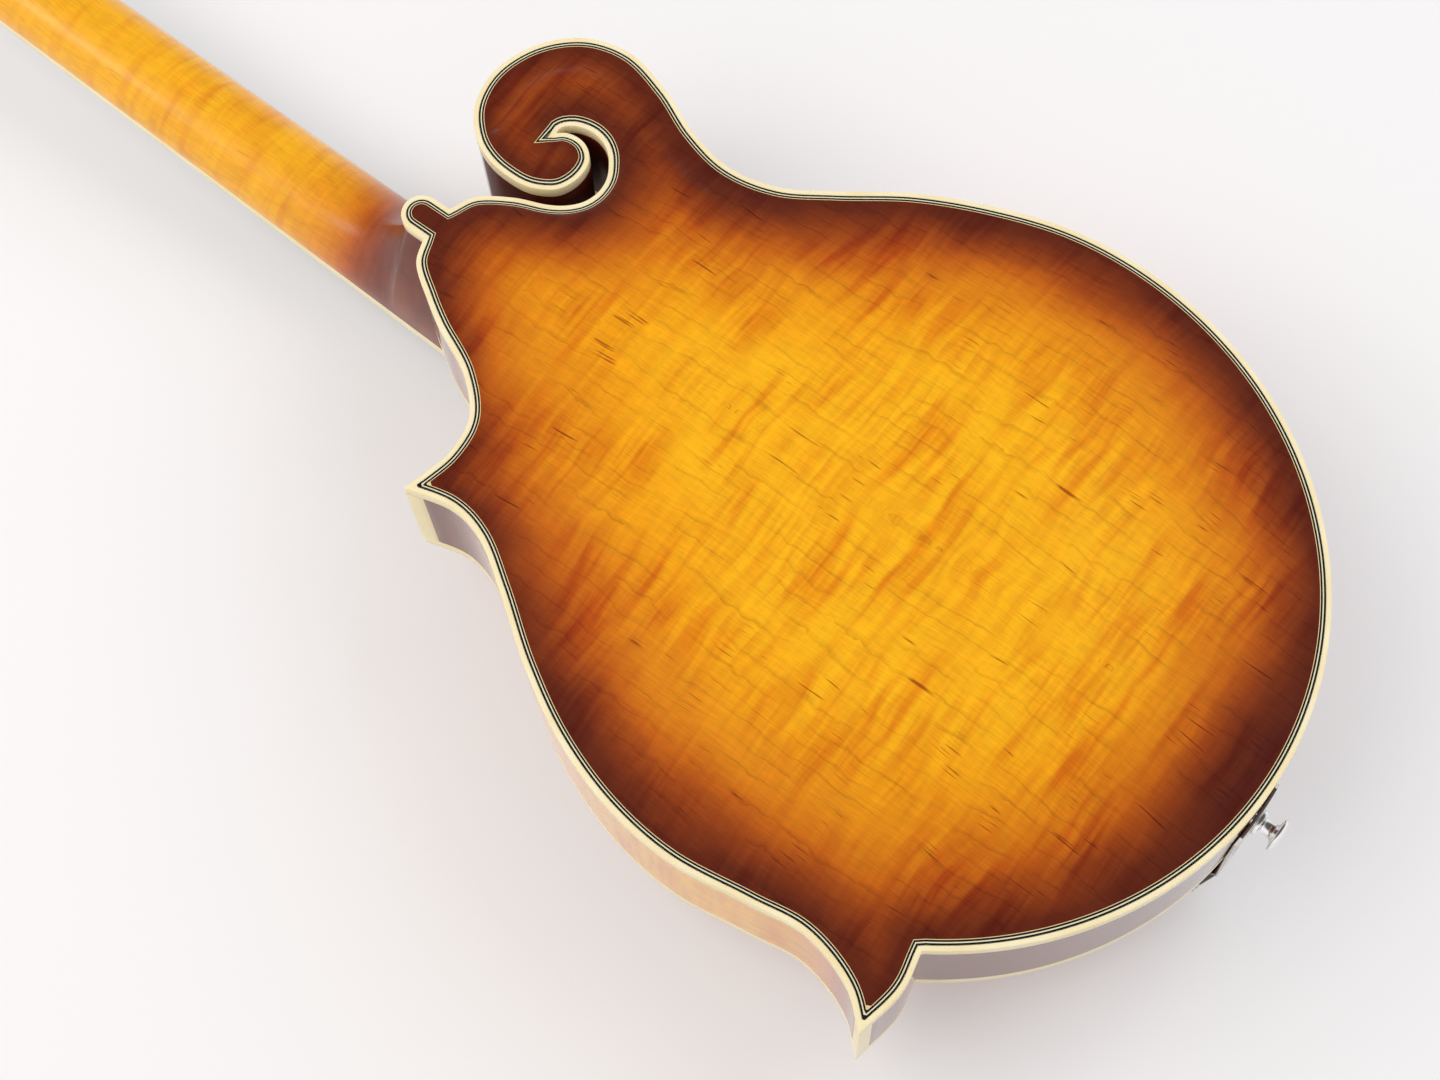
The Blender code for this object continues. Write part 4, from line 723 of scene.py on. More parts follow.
def rounded(obj, width, segments=2, angle=40):
    """Rounds the edges that are sharper than an angle, with a Bevel modifier that is applied at once."""
    only(obj)
    bevel = obj.modifiers.new("rounding", "BEVEL")
    bevel.width = width * MM
    bevel.segments = segments
    bevel.limit_method = "ANGLE"
    bevel.angle_limit = math.radians(angle)
    bevel.miter_outer = "MITER_ARC"
    bpy.ops.object.modifier_apply(modifier=bevel.name)
    return obj


for word, line, low in (("back", BACK_LINE, SIDES_BACK), ("top", TOP_LINE, 0.0)):
    strip = ring_solid(f"{word}_binding", line, inner_line(line, PURFLING[0]), low, low + BINDING_DEEP)
    settle(rounded(strip, 0.45, 2, 50), f"{word}_binding", cream, stands_for=[f"binding_{word}"],
           at=BODY_FRAME)
    print(strip.name, len(strip.data.polygons), "faces")

# %% [markdown]
# ## Bent sides
# The sides are strips of the same maple, 2.5 mm thick, bent with heat. Their flame stands upright, across the strip,
# so the grain is stored as the length along the outline and the height on the strip. The finisher left the middle of
# each bout amber, and sprayed the scroll, the points and the tail dark.

# %% Sides


def side_depth(x, z):
    """How amber the sides are at a point of the outline, as a depth in the sunburst."""
    amber = 0.0
    for cx, cz, radius, level in ((148, -228, 76, 80), (-147, -215, 75, 60), (120, -136, 40, 36), (42, -52, 26, 14)):
        amber = max(amber, level * math.exp(-(((x - cx) ** 2 + (z - cz) ** 2) / radius**2) ** 2))
    return 9 + amber


def in_slot(x, z):
    """True on the walls of the scroll's slot, which no polishing pad reaches and whose wood is painted darker as
    shade.
    """
    return -76 < x < -30 and -47 < z < 8


def skin(rows, count, first=0):
    """The faces between rows of points that are closed to rings, as numbers of their corners."""
    faces = []
    for start in range(first, first + (rows - 1) * count, count):
        for i in range(count):
            a, b = start + i, start + (i + 1) % count
            faces.append((a, b, b + count, a + count))
    return faces


def built(name, vertices, faces):
    """An object from its points, in metres, and its faces."""
    mesh = bpy.data.meshes.new(name)
    mesh.from_pydata(vertices, [], faces)
    return from_mesh(mesh)


def face_outwards(obj):
    """Recalculates the normals of a closed shape."""
    only(obj)
    bpy.ops.object.mode_set(mode="EDIT")
    bpy.ops.mesh.select_all(action="SELECT")
    bpy.ops.mesh.normals_make_consistent(inside=False)
    bpy.ops.object.mode_set(mode="OBJECT")
    return obj


def side_wall(name, line, low, high, thickness):
    """The bent sides as a closed band with the grain running along it."""
    before = line - np.roll(line, 1, axis=0)
    after = np.roll(line, -1, axis=0) - line
    normal = before / np.hypot(*before.T)[:, None] + after / np.hypot(*after.T)[:, None]
    normal = np.stack((-normal[:, 1], normal[:, 0]), 1) / np.hypot(*normal.T)[:, None]
    outer = line + normal * 0.06
    # Under the guards the wood is cut back by almost half a millimetre.
    for tip in (TREBLE_SIDE[0], TREBLE_SHOULDER[0]):
        away = np.hypot(*(line - np.array(tip)).T)
        outer = outer + normal * (0.45 * (1 - ease(away, 6.4, 7.4)))[:, None]
    inner = line + normal * thickness
    run = np.concatenate(([0], np.cumsum(np.hypot(*np.diff(line, axis=0).T))))
    levels = np.linspace(low, high, 6)
    vertices, grain, depth, polish = [], [], [], []
    for loop, ys in ((outer, levels), (inner, levels[::-1])):
        for y in ys:
            for (x, z), along in zip(loop, run):
                vertices.append((x * MM, y * MM, z * MM))
                grain.append((y * MM, 0.3, along * MM))
                # The slot's walls are painted darker than the wood around them, as painted shade in the deep, narrow
                # slot.
                depth.append(side_depth(x, z) * (0.3 if in_slot(x, z) else 1))
                polish.append(0.12 if in_slot(x, z) else 1.0)
    count = len(line)
    faces = [[corner % len(vertices) for corner in face] for face in skin(2 * len(levels) + 1, count)]
    obj = built(name, vertices, faces)
    store_vector(obj.data, "grain", grain)
    store(obj.data, "burst_mm", depth)
    store(obj.data, "polish", polish)
    return face_outwards(obj)


sides = side_wall("sides", TOP_LINE, BINDING_DEEP, SIDES_BACK, 2.5)
settle(sides, "bent_sides", side_maple, stands_for=["rim"], at=BODY_FRAME, smooth=50)
print("sides:", len(sides.data.polygons), "faces")

# %% [markdown]
# ## Guards on the two points
# The tips of the body points are capped with the same ivory celluloid from binding to binding, because bare wood
# would chip there. Each cap follows both flanks for 7 mm.

# %% Point guards


def prism(name, loop, low, high, axis="Y", at=None):
    """An outline in millimetres, raised along an axis. Its two numbers are the other axes, in the order x, y, z."""
    order = {"X": (2, 0, 1), "Y": (0, 2, 1), "Z": (0, 1, 2)}[axis]
    bm = bmesh.new()
    corners = []
    for u, v in loop:
        corner = (u * MM, v * MM, low * MM)
        corners.append(bm.verts.new([corner[i] for i in order]))
    bm.faces.new(corners)
    rise = (0, 0, (high - low) * MM)
    made = raised(bm, name, [rise[i] for i in order])
    made.data.transform(at or Matrix())
    return made


def point_guard(name, node, tip):
    """A cap along the outline on both sides of a tip, 2.2 mm thick."""
    spots = [Vector(spot) for spot in TOP_LINE]
    middle = min(range(len(spots)), key=lambda i: (spots[i] - Vector(tip)).length)
    run = [spots[(middle + step) % len(spots)] for step in range(-7, 8)]
    run = [spot for spot in run if (spot - Vector(tip)).length < 7.2]
    tip = run[len(run) // 2]
    inward = ((run[0] - tip).normalized() + (run[-1] - tip).normalized()).normalized()
    inner = [spot + inward * 2.2 for spot in run]
    guard = prism(name, run + inner[::-1], BINDING_DEEP + 0.02, SIDES_BACK - 0.02)
    settle(guard, name, cream, stands_for=[node], at=BODY_FRAME, smooth=30)


point_guard("upper_point_cap", "point_guard_upper", TREBLE_SHOULDER[0])
point_guard("lower_point_cap", "point_guard_lower", TREBLE_SIDE[0])

# %% [markdown]
# ## Other finishes
# The rest of the instrument is made of a few more materials, each with the marks of how it was worked: straight
# grained spruce, ebony with open pores, polished bone, plated nickel with wiping marks, drawn steel wire, wound bronze
# and pearloid, a celluloid with flakes of fish silver in it.

# %% Spruce


def spruce(name, burst=()):
    """Spruce split on the quarter: straight growth lines about 1.3 mm apart, under a burst or left raw."""
    made, tree, shader = new_material(name)
    if burst:
        grain = add_node(tree, "Attribute", attribute_name="grain").outputs["Vector"]
        base = sprayed(tree, add_node(tree, "Attribute", attribute_name="burst_mm").outputs["Fac"], burst)
    else:
        grain = add_node(tree, "TexCoord").outputs["Object"]
        cloud = add_node(tree, "TexNoise", {"Vector": grain, "Scale": 25.0, "Detail": 2.0})
        base = add_node(tree, "ValToRGB", {"Fac": cloud}, stops=[(0.3, "#D9B883"), (0.7, "#E6CB9A")])
    rings = growth_lines(tree, grain, [streaks(tree, grain, (40, 40, 3), 1.0)], [5.0], 760.0)
    line = add_node(tree, "MapRange", {"Value": rings, "From Min": 0.45, "From Max": 0.95, "To Max": 0.5})
    fibre = streaks(tree, grain, (2200, 900, 60))
    fibre = add_node(tree, "MapRange", {"Value": fibre, "From Min": 0.3, "From Max": 0.7, "To Min": 0.88,
                                        "To Max": 1.06})
    wood = add_node(tree, "Mix", {"Factor": line, "A": base, "B": colour("#B07A42")}, data_type="RGBA",
                    blend_type="MULTIPLY").outputs["Result"]
    wood = add_node(tree, "VectorMath", {0: wood, 1: fibre}, operation="MULTIPLY")
    relief = add_node(tree, "Bump", {"Height": line, "Strength": 0.12, "Distance": 0.0004})
    connect(tree, shader, {"Base Color": with_purfling(tree, wood) if burst else wood, "Specular IOR Level": 0.3,
                           "Roughness": 0.4 if burst else 0.62, "Normal": relief, **(LACQUER if burst else {})})
    return made


TOP_BURST = ((0, "#3E1810"), (10, "#54200F"), (20, "#8A3C12"), (34, "#BC6416"), (52, "#DB8B20"), (75, "#E9A832"),
             (95, "#EEB443"))
top_spruce = spruce("spruce_sunburst_lacquer", TOP_BURST)
raw_spruce = spruce("raw_split_spruce")

# %% Ebony, bone and pearloid
ebony, tree, shader = new_material("oiled_ebony")
place = add_node(tree, "TexCoord").outputs["Object"]
grain = streaks(tree, place, (900, 900, 40), 3.0)
mixed = add_node(tree, "Math", {0: streaks(tree, place, (120, 120, 9)), 1: 0.6, 2: grain}, operation="MULTIPLY_ADD")
tone = add_node(tree, "ValToRGB", {"Fac": mixed}, stops=[(0.5, "#15110F"), (0.85, "#241C18"), (1.0, "#3A2C23")])
gloss = add_node(tree, "MapRange", {"Value": grain, "To Min": 0.3, "To Max": 0.5})
pores = add_node(tree, "Bump", {"Height": grain, "Strength": 0.15, "Distance": 0.0003})
connect(tree, shader, {"Base Color": tone, "Roughness": gloss, "Normal": pores})

bone, tree, shader = new_material("polished_bone")
place = add_node(tree, "TexCoord").outputs["Object"]
marrow = streaks(tree, place, (300, 1200, 1200))
tone = add_node(tree, "ValToRGB", {"Fac": marrow}, stops=[(0.35, "#E4D9BC"), (0.65, "#F3ECD8")])
connect(tree, shader, {"Base Color": tone, "Roughness": 0.3, "Subsurface Weight": 0.1,
                       "Subsurface Radius": (0.8, 0.6, 0.4), "Subsurface Scale": 0.001})

pearloid, tree, shader = new_material("pearloid_celluloid")
place = add_node(tree, "TexCoord").outputs["Object"]
warp = add_node(tree, "TexNoise", {"Vector": place, "Scale": 220.0, "Detail": 2.0}).outputs["Color"]
warp = add_node(tree, "VectorMath", {0: warp, 1: (0.006, 0.006, 0.006)}, operation="MULTIPLY")
warp = add_node(tree, "VectorMath", {0: place, 1: warp}, operation="ADD")
flake = add_node(tree, "TexVoronoi", {"Vector": warp, "Scale": 260.0}).outputs["Color"]
flake = add_node(tree, "SeparateColor", {0: flake})
tone = add_node(tree, "ValToRGB", {"Fac": flake},
                stops=[(0.0, "#CFC8B8"), (0.45, "#E9E3D4"), (0.8, "#F4F0E6"), (1.0, "#DDE2E0")])
gloss = add_node(tree, "MapRange", {"Value": flake, "To Min": 0.16, "To Max": 0.34})
connect(tree, shader, {"Base Color": tone, "Roughness": gloss, "Metallic": 0.15, "Coat Weight": 0.8,
                       "Coat Roughness": 0.06})

# %% Nickel, steel and bronze


def metal(name, low, high, smooth_gloss, rough_gloss, relief=0.03, per_metre=(900, 900, 900)):
    """A metal with faint wiping marks: its tone and its height follow one noise, and its gloss a slower one."""
    made, tree, shader = new_material(name)
    place = add_node(tree, "TexCoord").outputs["Object"]
    marks = streaks(tree, place, per_metre, 3.0)
    tone = add_node(tree, "ValToRGB", {"Fac": marks}, stops=[(0.3, low), (0.7, high)])
    haze = add_node(tree, "TexNoise", {"Vector": place, "Scale": 70.0, "Detail": 2.0})
    gloss = add_node(tree, "MapRange", {"Value": haze, "From Min": 0.35, "From Max": 0.7, "To Min": smooth_gloss,
                                        "To Max": rough_gloss})
    bump = add_node(tree, "Bump", {"Height": marks, "Strength": relief, "Distance": 0.0002})
    connect(tree, shader, {"Base Color": tone, "Roughness": gloss, "Normal": bump, "Metallic": 1.0})
    return made


nickel = metal("nickel_plated_brass", "#CFCAC1", "#DDD9D1", 0.07, 0.16)
# The chrome's colour is near white, brighter than the metal's own, as a painted reflection.
chrome = metal("chrome_plated_steel_painted_bright", "#EDEEEF", "#F6F6F5", 0.04, 0.1)
brushed = metal("nickel_plate_brushed", "#BDB8AE", "#D2CDC4", 0.2, 0.32, 0.08, (900, 900, 45))
steel = metal("drawn_steel", "#A9AAAB", "#C3C4C5", 0.18, 0.3)
fret_wire = metal("nickel_silver_wire", "#C2BEB2", "#D6D2C8", 0.14, 0.24)

# The wrap of a wound string is a wire 0.15 mm thick. Turns 1 mm apart are as fine as a picture of it can show.
bronze, tree, shader = new_material("wound_bronze_string")
place = add_node(tree, "TexCoord").outputs["Object"]
wraps_and_groove_shade = add_node(tree, "TexWave", {"Vector": place, "Scale": 320.0}, wave_type="BANDS", bands_direction="Z",
                 wave_profile="SIN").outputs["Color"]
# The colour follows the same wave: painted shade in the grooves between turns and a painted highlight on their crowns,
# over the bump's real relief.
tone = add_node(tree, "ValToRGB", {"Fac": wraps_and_groove_shade}, stops=[(0.0, "#7E5A34"), (1.0, "#D2A873")])
relief = add_node(tree, "Bump", {"Height": wraps_and_groove_shade, "Strength": 0.5, "Distance": 0.0001})
connect(tree, shader, {"Base Color": tone, "Normal": relief, "Metallic": 1.0, "Roughness": 0.3})

# %% [markdown]
# ## The top
# The front is carved the same way from spruce, with two f-holes. An f-hole is drawn here as a maker's template is: a
# centre line with a half width at each mark, and a round eye at each end.

# %% Top plate with f-holes
F_HOLE = ((50, -168, 4.2), (44, -178, 4.6), (55, -192, 2.2), (64, -215, 3.0), (74, -240, 2.2), (84, -254, 5.2),
          (78, -264, 4.8))


def f_hole(mirror):
    """The outline of one f-hole around its centre line, with round ends."""
    spine = smooth_curve(F_HOLE, 1.6) + [Vector(F_HOLE[-1])]
    left, right = [], []
    for before, spot, after in zip(spine, spine[1:], spine[2:]):
        run = (after - before).to_2d().normalized()
        across = Vector((-run.y, run.x))
        left.append(spot.to_2d() + across * spot.z)
        right.append(spot.to_2d() - across * spot.z)
    caps = []
    for end, inward in ((spine[0], spine[1]), (spine[-1], spine[-2])):
        caps.append(end.to_2d() + (end - inward).to_2d().normalized() * end.z * 0.6)
    loop = np.array([tuple(spot) for spot in (caps[0], *left, caps[1], *reversed(right))])
    return loop * (mirror, 1)


top = from_mesh(plate_mesh("top", TOP_LINE, top_arch, top_reach, 0.0, -1, 4.2, holes=(f_hole(1), f_hole(-1))))
settle(top, "carved_top", top_spruce, stands_for=["top_plate"], at=BODY_FRAME, smooth=60)
print("top:", len(top.data.polygons), "faces")

# %% [markdown]
# ## Neck, heel and headstock
# The neck is one piece of maple: a D-shaped shaft that deepens into the heel, and a flat headstock. The shaft follows
# a row of sections, so it is skinned over rings that are worked out, because no single primitive bends like a heel.
# The headstock slab and the tongue under the fingerboard are joined to it with Boolean modifiers, as glue would.

# %% Shaft and heel
BOARD_END = -fret(22) - 8
HEEL = ((78, 0), (58, 1.5), (44, 5), (34, 11), (27, 19), (21.5, 28), (18, 38), (16, 49), (-24, 49))
NECK_STEPS = 36


def half_width(z):
    """Half the width of the neck in millimetres at a height below the nut."""
    return 19 + 3.5 * max(min(z / JOINT, BOARD_END / JOINT), 0)


def neck_rings():
    """Sections of the neck: height, front and back, every few millimetres."""
    marks = [(14, 9 * math.tan(HEAD_PITCH) + 0.4, 16.7), (5, 0, 16.0), (0, 0, 15.5), (JOINT * 0.45, 0, 17.25)]
    marks += [(JOINT + above, 0, 19 + deeper) for above, deeper in HEEL]
    return [*smooth_curve(marks, 3.0), Vector(marks[-1])]


def neck_skin():
    """The skin over the sections: flat in front, round behind, and pinched to a blade at the heel."""
    vertices = []
    for z, front, back in neck_rings():
        pinch = 1 + 1.2 * min(max((back - 19) / 30, 0), 1)
        for step in range(NECK_STEPS + 1):
            turn = math.pi * step / NECK_STEPS
            across = math.copysign(abs(math.cos(turn)) ** pinch, math.cos(turn))
            vertices.append((half_width(z) * across * MM, (front + (back - front) * math.sin(turn)) * MM, z * MM))
    return capped("neck_draft", vertices, NECK_STEPS + 1)


def capped(name, vertices, count):
    """A solid over rows of points that are closed to rings, with a face at each end."""
    rows = len(vertices) // count
    ends = [tuple(range(count)), tuple(range((rows - 1) * count, rows * count))]
    return face_outwards(built(name, vertices, skin(rows, count) + ends))


def boolean(obj, tool, operation="DIFFERENCE"):
    """Joins or cuts with another shape, which is then thrown away."""
    only(obj)
    cut = obj.modifiers.new("cut", "BOOLEAN")
    cut.operation = operation
    cut.object = tool
    cut.solver = "EXACT"
    bpy.ops.object.modifier_apply(modifier=cut.name)
    bpy.data.objects.remove(tool)
    return obj


# %% Headstock and tongue
HEAD_HALF = ((19.5, 1), (22, 10), (31, 22), (34.5, 40), (35, 80), (37, 115), (41, 134), (34, 147), (17, 146), (0, 152))


def both_sides(right):
    """Mirrors a half outline that ends on the middle line."""
    return right + [(-x, z) for x, z in reversed(right[:-1])]


def head_outline(start=1):
    """The headstock's outline above a height, as points in millimetres."""
    return both_sides([tuple(spot) for spot in smooth_curve(HEAD_HALF, 2.0) if spot.y > start] + [HEAD_HALF[-1]])


neck = neck_skin()
head = prism("head_draft", head_outline(), 0.0, 15.0, at=NECK_FRAME.inverted() @ HEAD_FRAME)
boolean(neck, head, "UNION")
to_body = NECK_FRAME.inverted() @ BODY_FRAME
lean = math.tan(NECK_PITCH)
tongue = [(-10 + 6 * lean + 0.2, 6), (0.6, 6), (0.6, -74), (-10 - 74 * lean + 0.2, -74)]
boolean(neck, prism("tongue", tongue, -16, 16, "X", to_body), "UNION")
boolean(neck, prism("body_space", TOP_LINE, 0.02, 85, at=to_body))
boolean(neck, prism("heel_cut", [(-45, -45), (45, -45), (45, 45), (-45, 45)], 50.7, 114, at=to_body))
print("neck:", len(neck.data.polygons), "faces")

# %% Grain and burst of the neck
place = np.array([tuple(vert.co) for vert in neck.data.vertices]) / MM
store_vector(neck.data, "grain", place * MM + (0.4, 0.2, 0))
amber = ease(place[:, 2], JOINT + 20, JOINT + 98) * (1 - ease(place[:, 2], -45, 25))
store(neck.data, "burst_mm", 12 + 72 * amber - 3 * ease(place[:, 2], 60, 150))
settle(neck, "neck_and_head", neck_maple, stands_for=["neck"], at=NECK_FRAME, smooth=40)

# %% [markdown]
# ## Shapes from a lathe, a block and a drill
# Most hardware is turned, milled or bent. A turned piece starts as a filled circle that is extruded and resized from
# mark to mark, a milled one as a cube whose edges are bevelled. They are drawn about the origin and then put in place
# with a matrix, so one shape serves for every copy.

# %% Helpers for hardware


def turned(profile, sides=32):
    """A solid turned about Z. Each mark of the profile is a radius and a height in millimetres."""
    only()
    radius, level = profile[0]
    bpy.ops.mesh.primitive_circle_add(vertices=sides, radius=radius * MM, fill_type="NGON", location=(0, 0, 0))
    made = bpy.context.object
    bpy.ops.object.mode_set(mode="EDIT")
    bpy.ops.mesh.select_all(action="SELECT")
    bpy.ops.transform.translate(value=(0, 0, level * MM))
    for next_radius, next_level in profile[1:]:
        bpy.ops.mesh.extrude_region_move(TRANSFORM_OT_translate={"value": (0, 0, (next_level - level) * MM)})
        if next_radius != radius:
            grow = next_radius / radius
            bpy.ops.transform.resize(value=(grow, grow, 1), center_override=(0, 0, next_level * MM))
        radius, level = next_radius, next_level
    bpy.ops.mesh.select_all(action="SELECT")
    bpy.ops.mesh.normals_make_consistent(inside=False)
    bpy.ops.object.mode_set(mode="OBJECT")
    return made


def milled(size, centre=(0, 0, 0), edge=0.3, segments=2):
    """A block with rounded edges. Size and centre are in millimetres."""
    only()
    centre = [value * MM for value in centre]
    bpy.ops.mesh.primitive_cube_add(size=MM, location=centre)
    made = bpy.context.object
    bpy.ops.object.mode_set(mode="EDIT")
    bpy.ops.mesh.select_all(action="SELECT")
    bpy.ops.transform.resize(value=size, center_override=centre)
    if edge:
        bpy.ops.mesh.bevel(offset=edge * MM, segments=segments, affect="EDGES")
    bpy.ops.object.mode_set(mode="OBJECT")
    return made


def joined(pieces):
    """Several shapes as one mesh."""
    only(*pieces)
    bpy.ops.object.join()
    return pieces[0]


def moved(obj, matrix):
    """A shape with a matrix applied to its mesh, on top of its own place."""
    obj.data.transform(matrix @ obj.matrix_world)
    obj.matrix_world = Matrix()
    return obj


def copied(obj, matrix):
    """A copy with its own mesh, moved by a matrix."""
    return moved(from_mesh(obj.data.copy()), matrix)


def spot(x, y, z, turn=None):
    """A place in millimetres as a matrix, turned by another one if that is given."""
    return Matrix.Translation((x * MM, y * MM, z * MM)) @ (turn or Matrix())


def drilled(obj, radius, low, high, place, sides=20):
    """Bores a round hole between two heights of a tool that stands at a place."""
    return boolean(obj, moved(turned([(radius, low), (radius, high)], sides), place))


FACING_FRONT = Matrix.Rotation(math.radians(90), 4, "X")
FACING_BACK = Matrix.Rotation(math.radians(-90), 4, "X")
FACING_TAIL = Matrix.Rotation(math.radians(180), 4, "X")
ALONG_X = Matrix.Rotation(math.radians(90), 4, "Y")
SIDES = ((-1, "bass"), (1, "treble"))


def screw_head(radius):
    """A round-headed wood screw with a slot across it. It points along +Z and its seat is at 0."""
    dome = [(radius, -0.6), (radius, 0.15), (radius * 0.93, 0.5), (radius * 0.72, 0.8), (radius * 0.4, 0.98),
            (radius * 0.1, 1.02)]
    return boolean(turned(dome, 24), milled((radius * 2.4, 0.42, 0.9), (0, 0, 1.02), 0))


def bevelled_along_x(obj, picked, width, segments):
    """Rounds the edges that run along X and whose two ends are picked."""
    only(obj)
    bpy.ops.object.mode_set(mode="EDIT")
    mesh = bmesh.from_edit_mesh(obj.data)
    for edge in mesh.edges:
        ends = [vert.co for vert in edge.verts]
        edge.select_set(all(picked(end) for end in ends) and abs(ends[0].x - ends[1].x) > 1 * MM)
    bmesh.update_edit_mesh(obj.data)
    bpy.ops.mesh.bevel(offset=width * MM, segments=segments, affect="EDGES")
    bpy.ops.object.mode_set(mode="OBJECT")
    return obj


def threaded(radius, depth, pitch, low, high, sides=20):
    """A closed cylinder with a helical thread, about Z."""
    rows = max(int((high - low) / pitch * 6), 6)
    vertices = [(0, 0, low * MM), (0, 0, high * MM)]
    for row in range(rows + 1):
        z = low + (high - low) * row / rows
        for side in range(sides):
            turn = 2 * math.pi * side / sides
            wave = 0.5 + 0.5 * math.cos(2 * math.pi * z / pitch - turn)
            here = (radius - depth * (1 - wave ** 0.7)) * MM
            vertices.append((here * math.cos(turn), here * math.sin(turn), z * MM))
    faces = skin(rows + 1, sides, 2)
    last = 2 + rows * sides
    for side in range(sides):
        faces.append((0, 2 + (side + 1) % sides, 2 + side))
        faces.append((1, last + side, last + (side + 1) % sides))
    return built("thread", vertices, faces)


# %% [markdown]
# ## Fingerboard, frets, dots and nut
# The board is ebony, tapered, with nickel silver frets pressed into slots between the ivory bindings, and pearloid
# dots. The nut is bone with a slot for each string.

# %% Fingerboard
BOARD_FRONT, BOARD_BACK = -6.3, -0.3
BOARD_TOP = -0.3


def between_frets(number):
    """The height of a dot, halfway between a fret and the one above it."""
    return -(fret(number) + fret(number - 1)) / 2


def tapered(z_top, z_bottom, shrink, y_low, y_high):
    """A board as wide as the neck less a margin, between two heights."""
    top_half, bottom_half = half_width(z_top) - shrink, half_width(z_bottom) - shrink
    only()
    bpy.ops.mesh.primitive_cube_add(size=MM, location=(0, (y_low + y_high) / 2 * MM, (z_top + z_bottom) / 2 * MM))
    made = bpy.context.object
    for vert in made.data.vertices:
        upper = vert.co.z > 0
        vert.co.x = math.copysign(top_half if upper else bottom_half, vert.co.x) * MM
        vert.co.y = math.copysign((y_high - y_low) / 2, vert.co.y) * MM
        vert.co.z = math.copysign((z_top - z_bottom) / 2, vert.co.z) * MM
    return made


board = tapered(BOARD_TOP, BOARD_END, 1.8, BOARD_FRONT, BOARD_BACK)
rounded(board, 0.15, 1)
settle(board, "ebony_fingerboard", ebony, stands_for=["fingerboard"], at=NECK_FRAME)

frets = []
for number in range(1, 23):
    z = -fret(number)
    crown = milled((2 * half_width(z) - 3.8, 2.0, 2.2), (0, BOARD_FRONT, z), 0)
    frets.append(bevelled_along_x(crown, lambda end: end.y < 0, 0.85, 4))
frets = joined(frets)
settle(frets, "fret_wires", fret_wire, at=NECK_FRAME)

dots = []
for number in (3, 5, 7, 10, 12, 15, 17, 19):
    radius = 3.2 if number < 13 else 2.6
    for x in (-9, 9) if number == 12 else (0,):
        dots.append(moved(turned([(radius, 0), (radius, 0.55), (radius * 0.96, 0.62)], 28),
                          spot(x, BOARD_FRONT + 0.55, between_frets(number), FACING_FRONT)))
settle(joined(dots), "position_dots", pearloid, at=NECK_FRAME)
print("frets:", len(frets.data.polygons), "faces")

# %% Fingerboard binding and nut
outer = [(half_width(BOARD_TOP), BOARD_TOP), (half_width(BOARD_END), BOARD_END - 1.8)]
outer = outer + [(-x, z) for x, z in reversed(outer)]
inner = [(half_width(BOARD_TOP) - 1.5, BOARD_TOP), (half_width(BOARD_END) - 1.5, BOARD_END - 0.3)]
inner = [(-x, z) for x, z in inner] + list(reversed(inner))
board_binding = prism("board_binding", [*outer, *inner], BOARD_FRONT, BOARD_BACK)
rounded(board_binding, 0.35, 2, 50)
settle(board_binding, "fingerboard_binding_strip", cream, stands_for=["fingerboard_binding"],
       at=NECK_FRAME)

marks = []
for number in (3, 5, 7, 10, 12, 15, 17, 19):
    for shift in (-2, 2) if number == 12 else (0,):
        z = between_frets(number) + shift
        marks.append(moved(turned([(0.9, 0), (0.9, 0.12)], 16),
                           spot(-half_width(z) + 0.05, -3.3, z, Matrix.Rotation(math.radians(-90), 4, "Y"))))
settle(joined(marks), "side_dots", ebony, at=NECK_FRAME)

# A course is a pair of strings: its letter, a string's radius, the side of its two posts and the lower one's index.
COURSES = (("G", 0.58, -1, 0), ("D", 0.43, -1, 2), ("A", 0.26, 1, 2), ("E", 0.14, 1, 0))
NUT_GAPS, SADDLE_GAPS, HOOK_GAPS = (10, 2.6), (14.5, 3.2), (10, 4)


def string_x(course, pair, gaps):
    """Where a string crosses the nut, the saddle or the hooks, from the gaps between courses and in a pair."""
    outward = COURSES[course][2] * (1 if pair == 0 else -1)
    return (course - 1.5) * gaps[0] + outward * gaps[1] / 2


nut = milled((38, 7.6, 4.0), (0, -4.1, 2.3), 0.5, 3)
crest = milled((35, 1.0, 3.4), (0, -8.0, 2.3), 0.35, 2)
for course, (_, radius, _, _) in enumerate(COURSES):
    for pair in (0, 1):
        boolean(crest, milled((2 * radius + 0.7, 3.0, 8), (string_x(course, pair, NUT_GAPS), -9.4, 2.3), 0))
settle(joined([nut, crest]), "bone_nut", bone, stands_for=["nut"], at=NECK_FRAME)

# %% [markdown]
# ## Face of the headstock
# An ebony veneer covers the front, bored for the posts, and a small cover over the truss rod's nut is held by three
# screws.

# %% Overlay and cover
POST_X = 20
POST_Z = (30, 53, 76, 99)
overlay = prism("overlay", head_outline(8), -2.3, -0.3)
for side, _ in SIDES:
    for z in POST_Z:
        drilled(overlay, 3.4, -3, 3, spot(side * POST_X, -1.3, z, FACING_FRONT), 24)
boolean(overlay, milled((6.4, 4, 20), (0, -1.3, 7), 0))
rounded(overlay, 0.3, 2, 50)
settle(overlay, "headstock_veneer", ebony, stands_for=["head_overlay"], at=HEAD_FRAME)

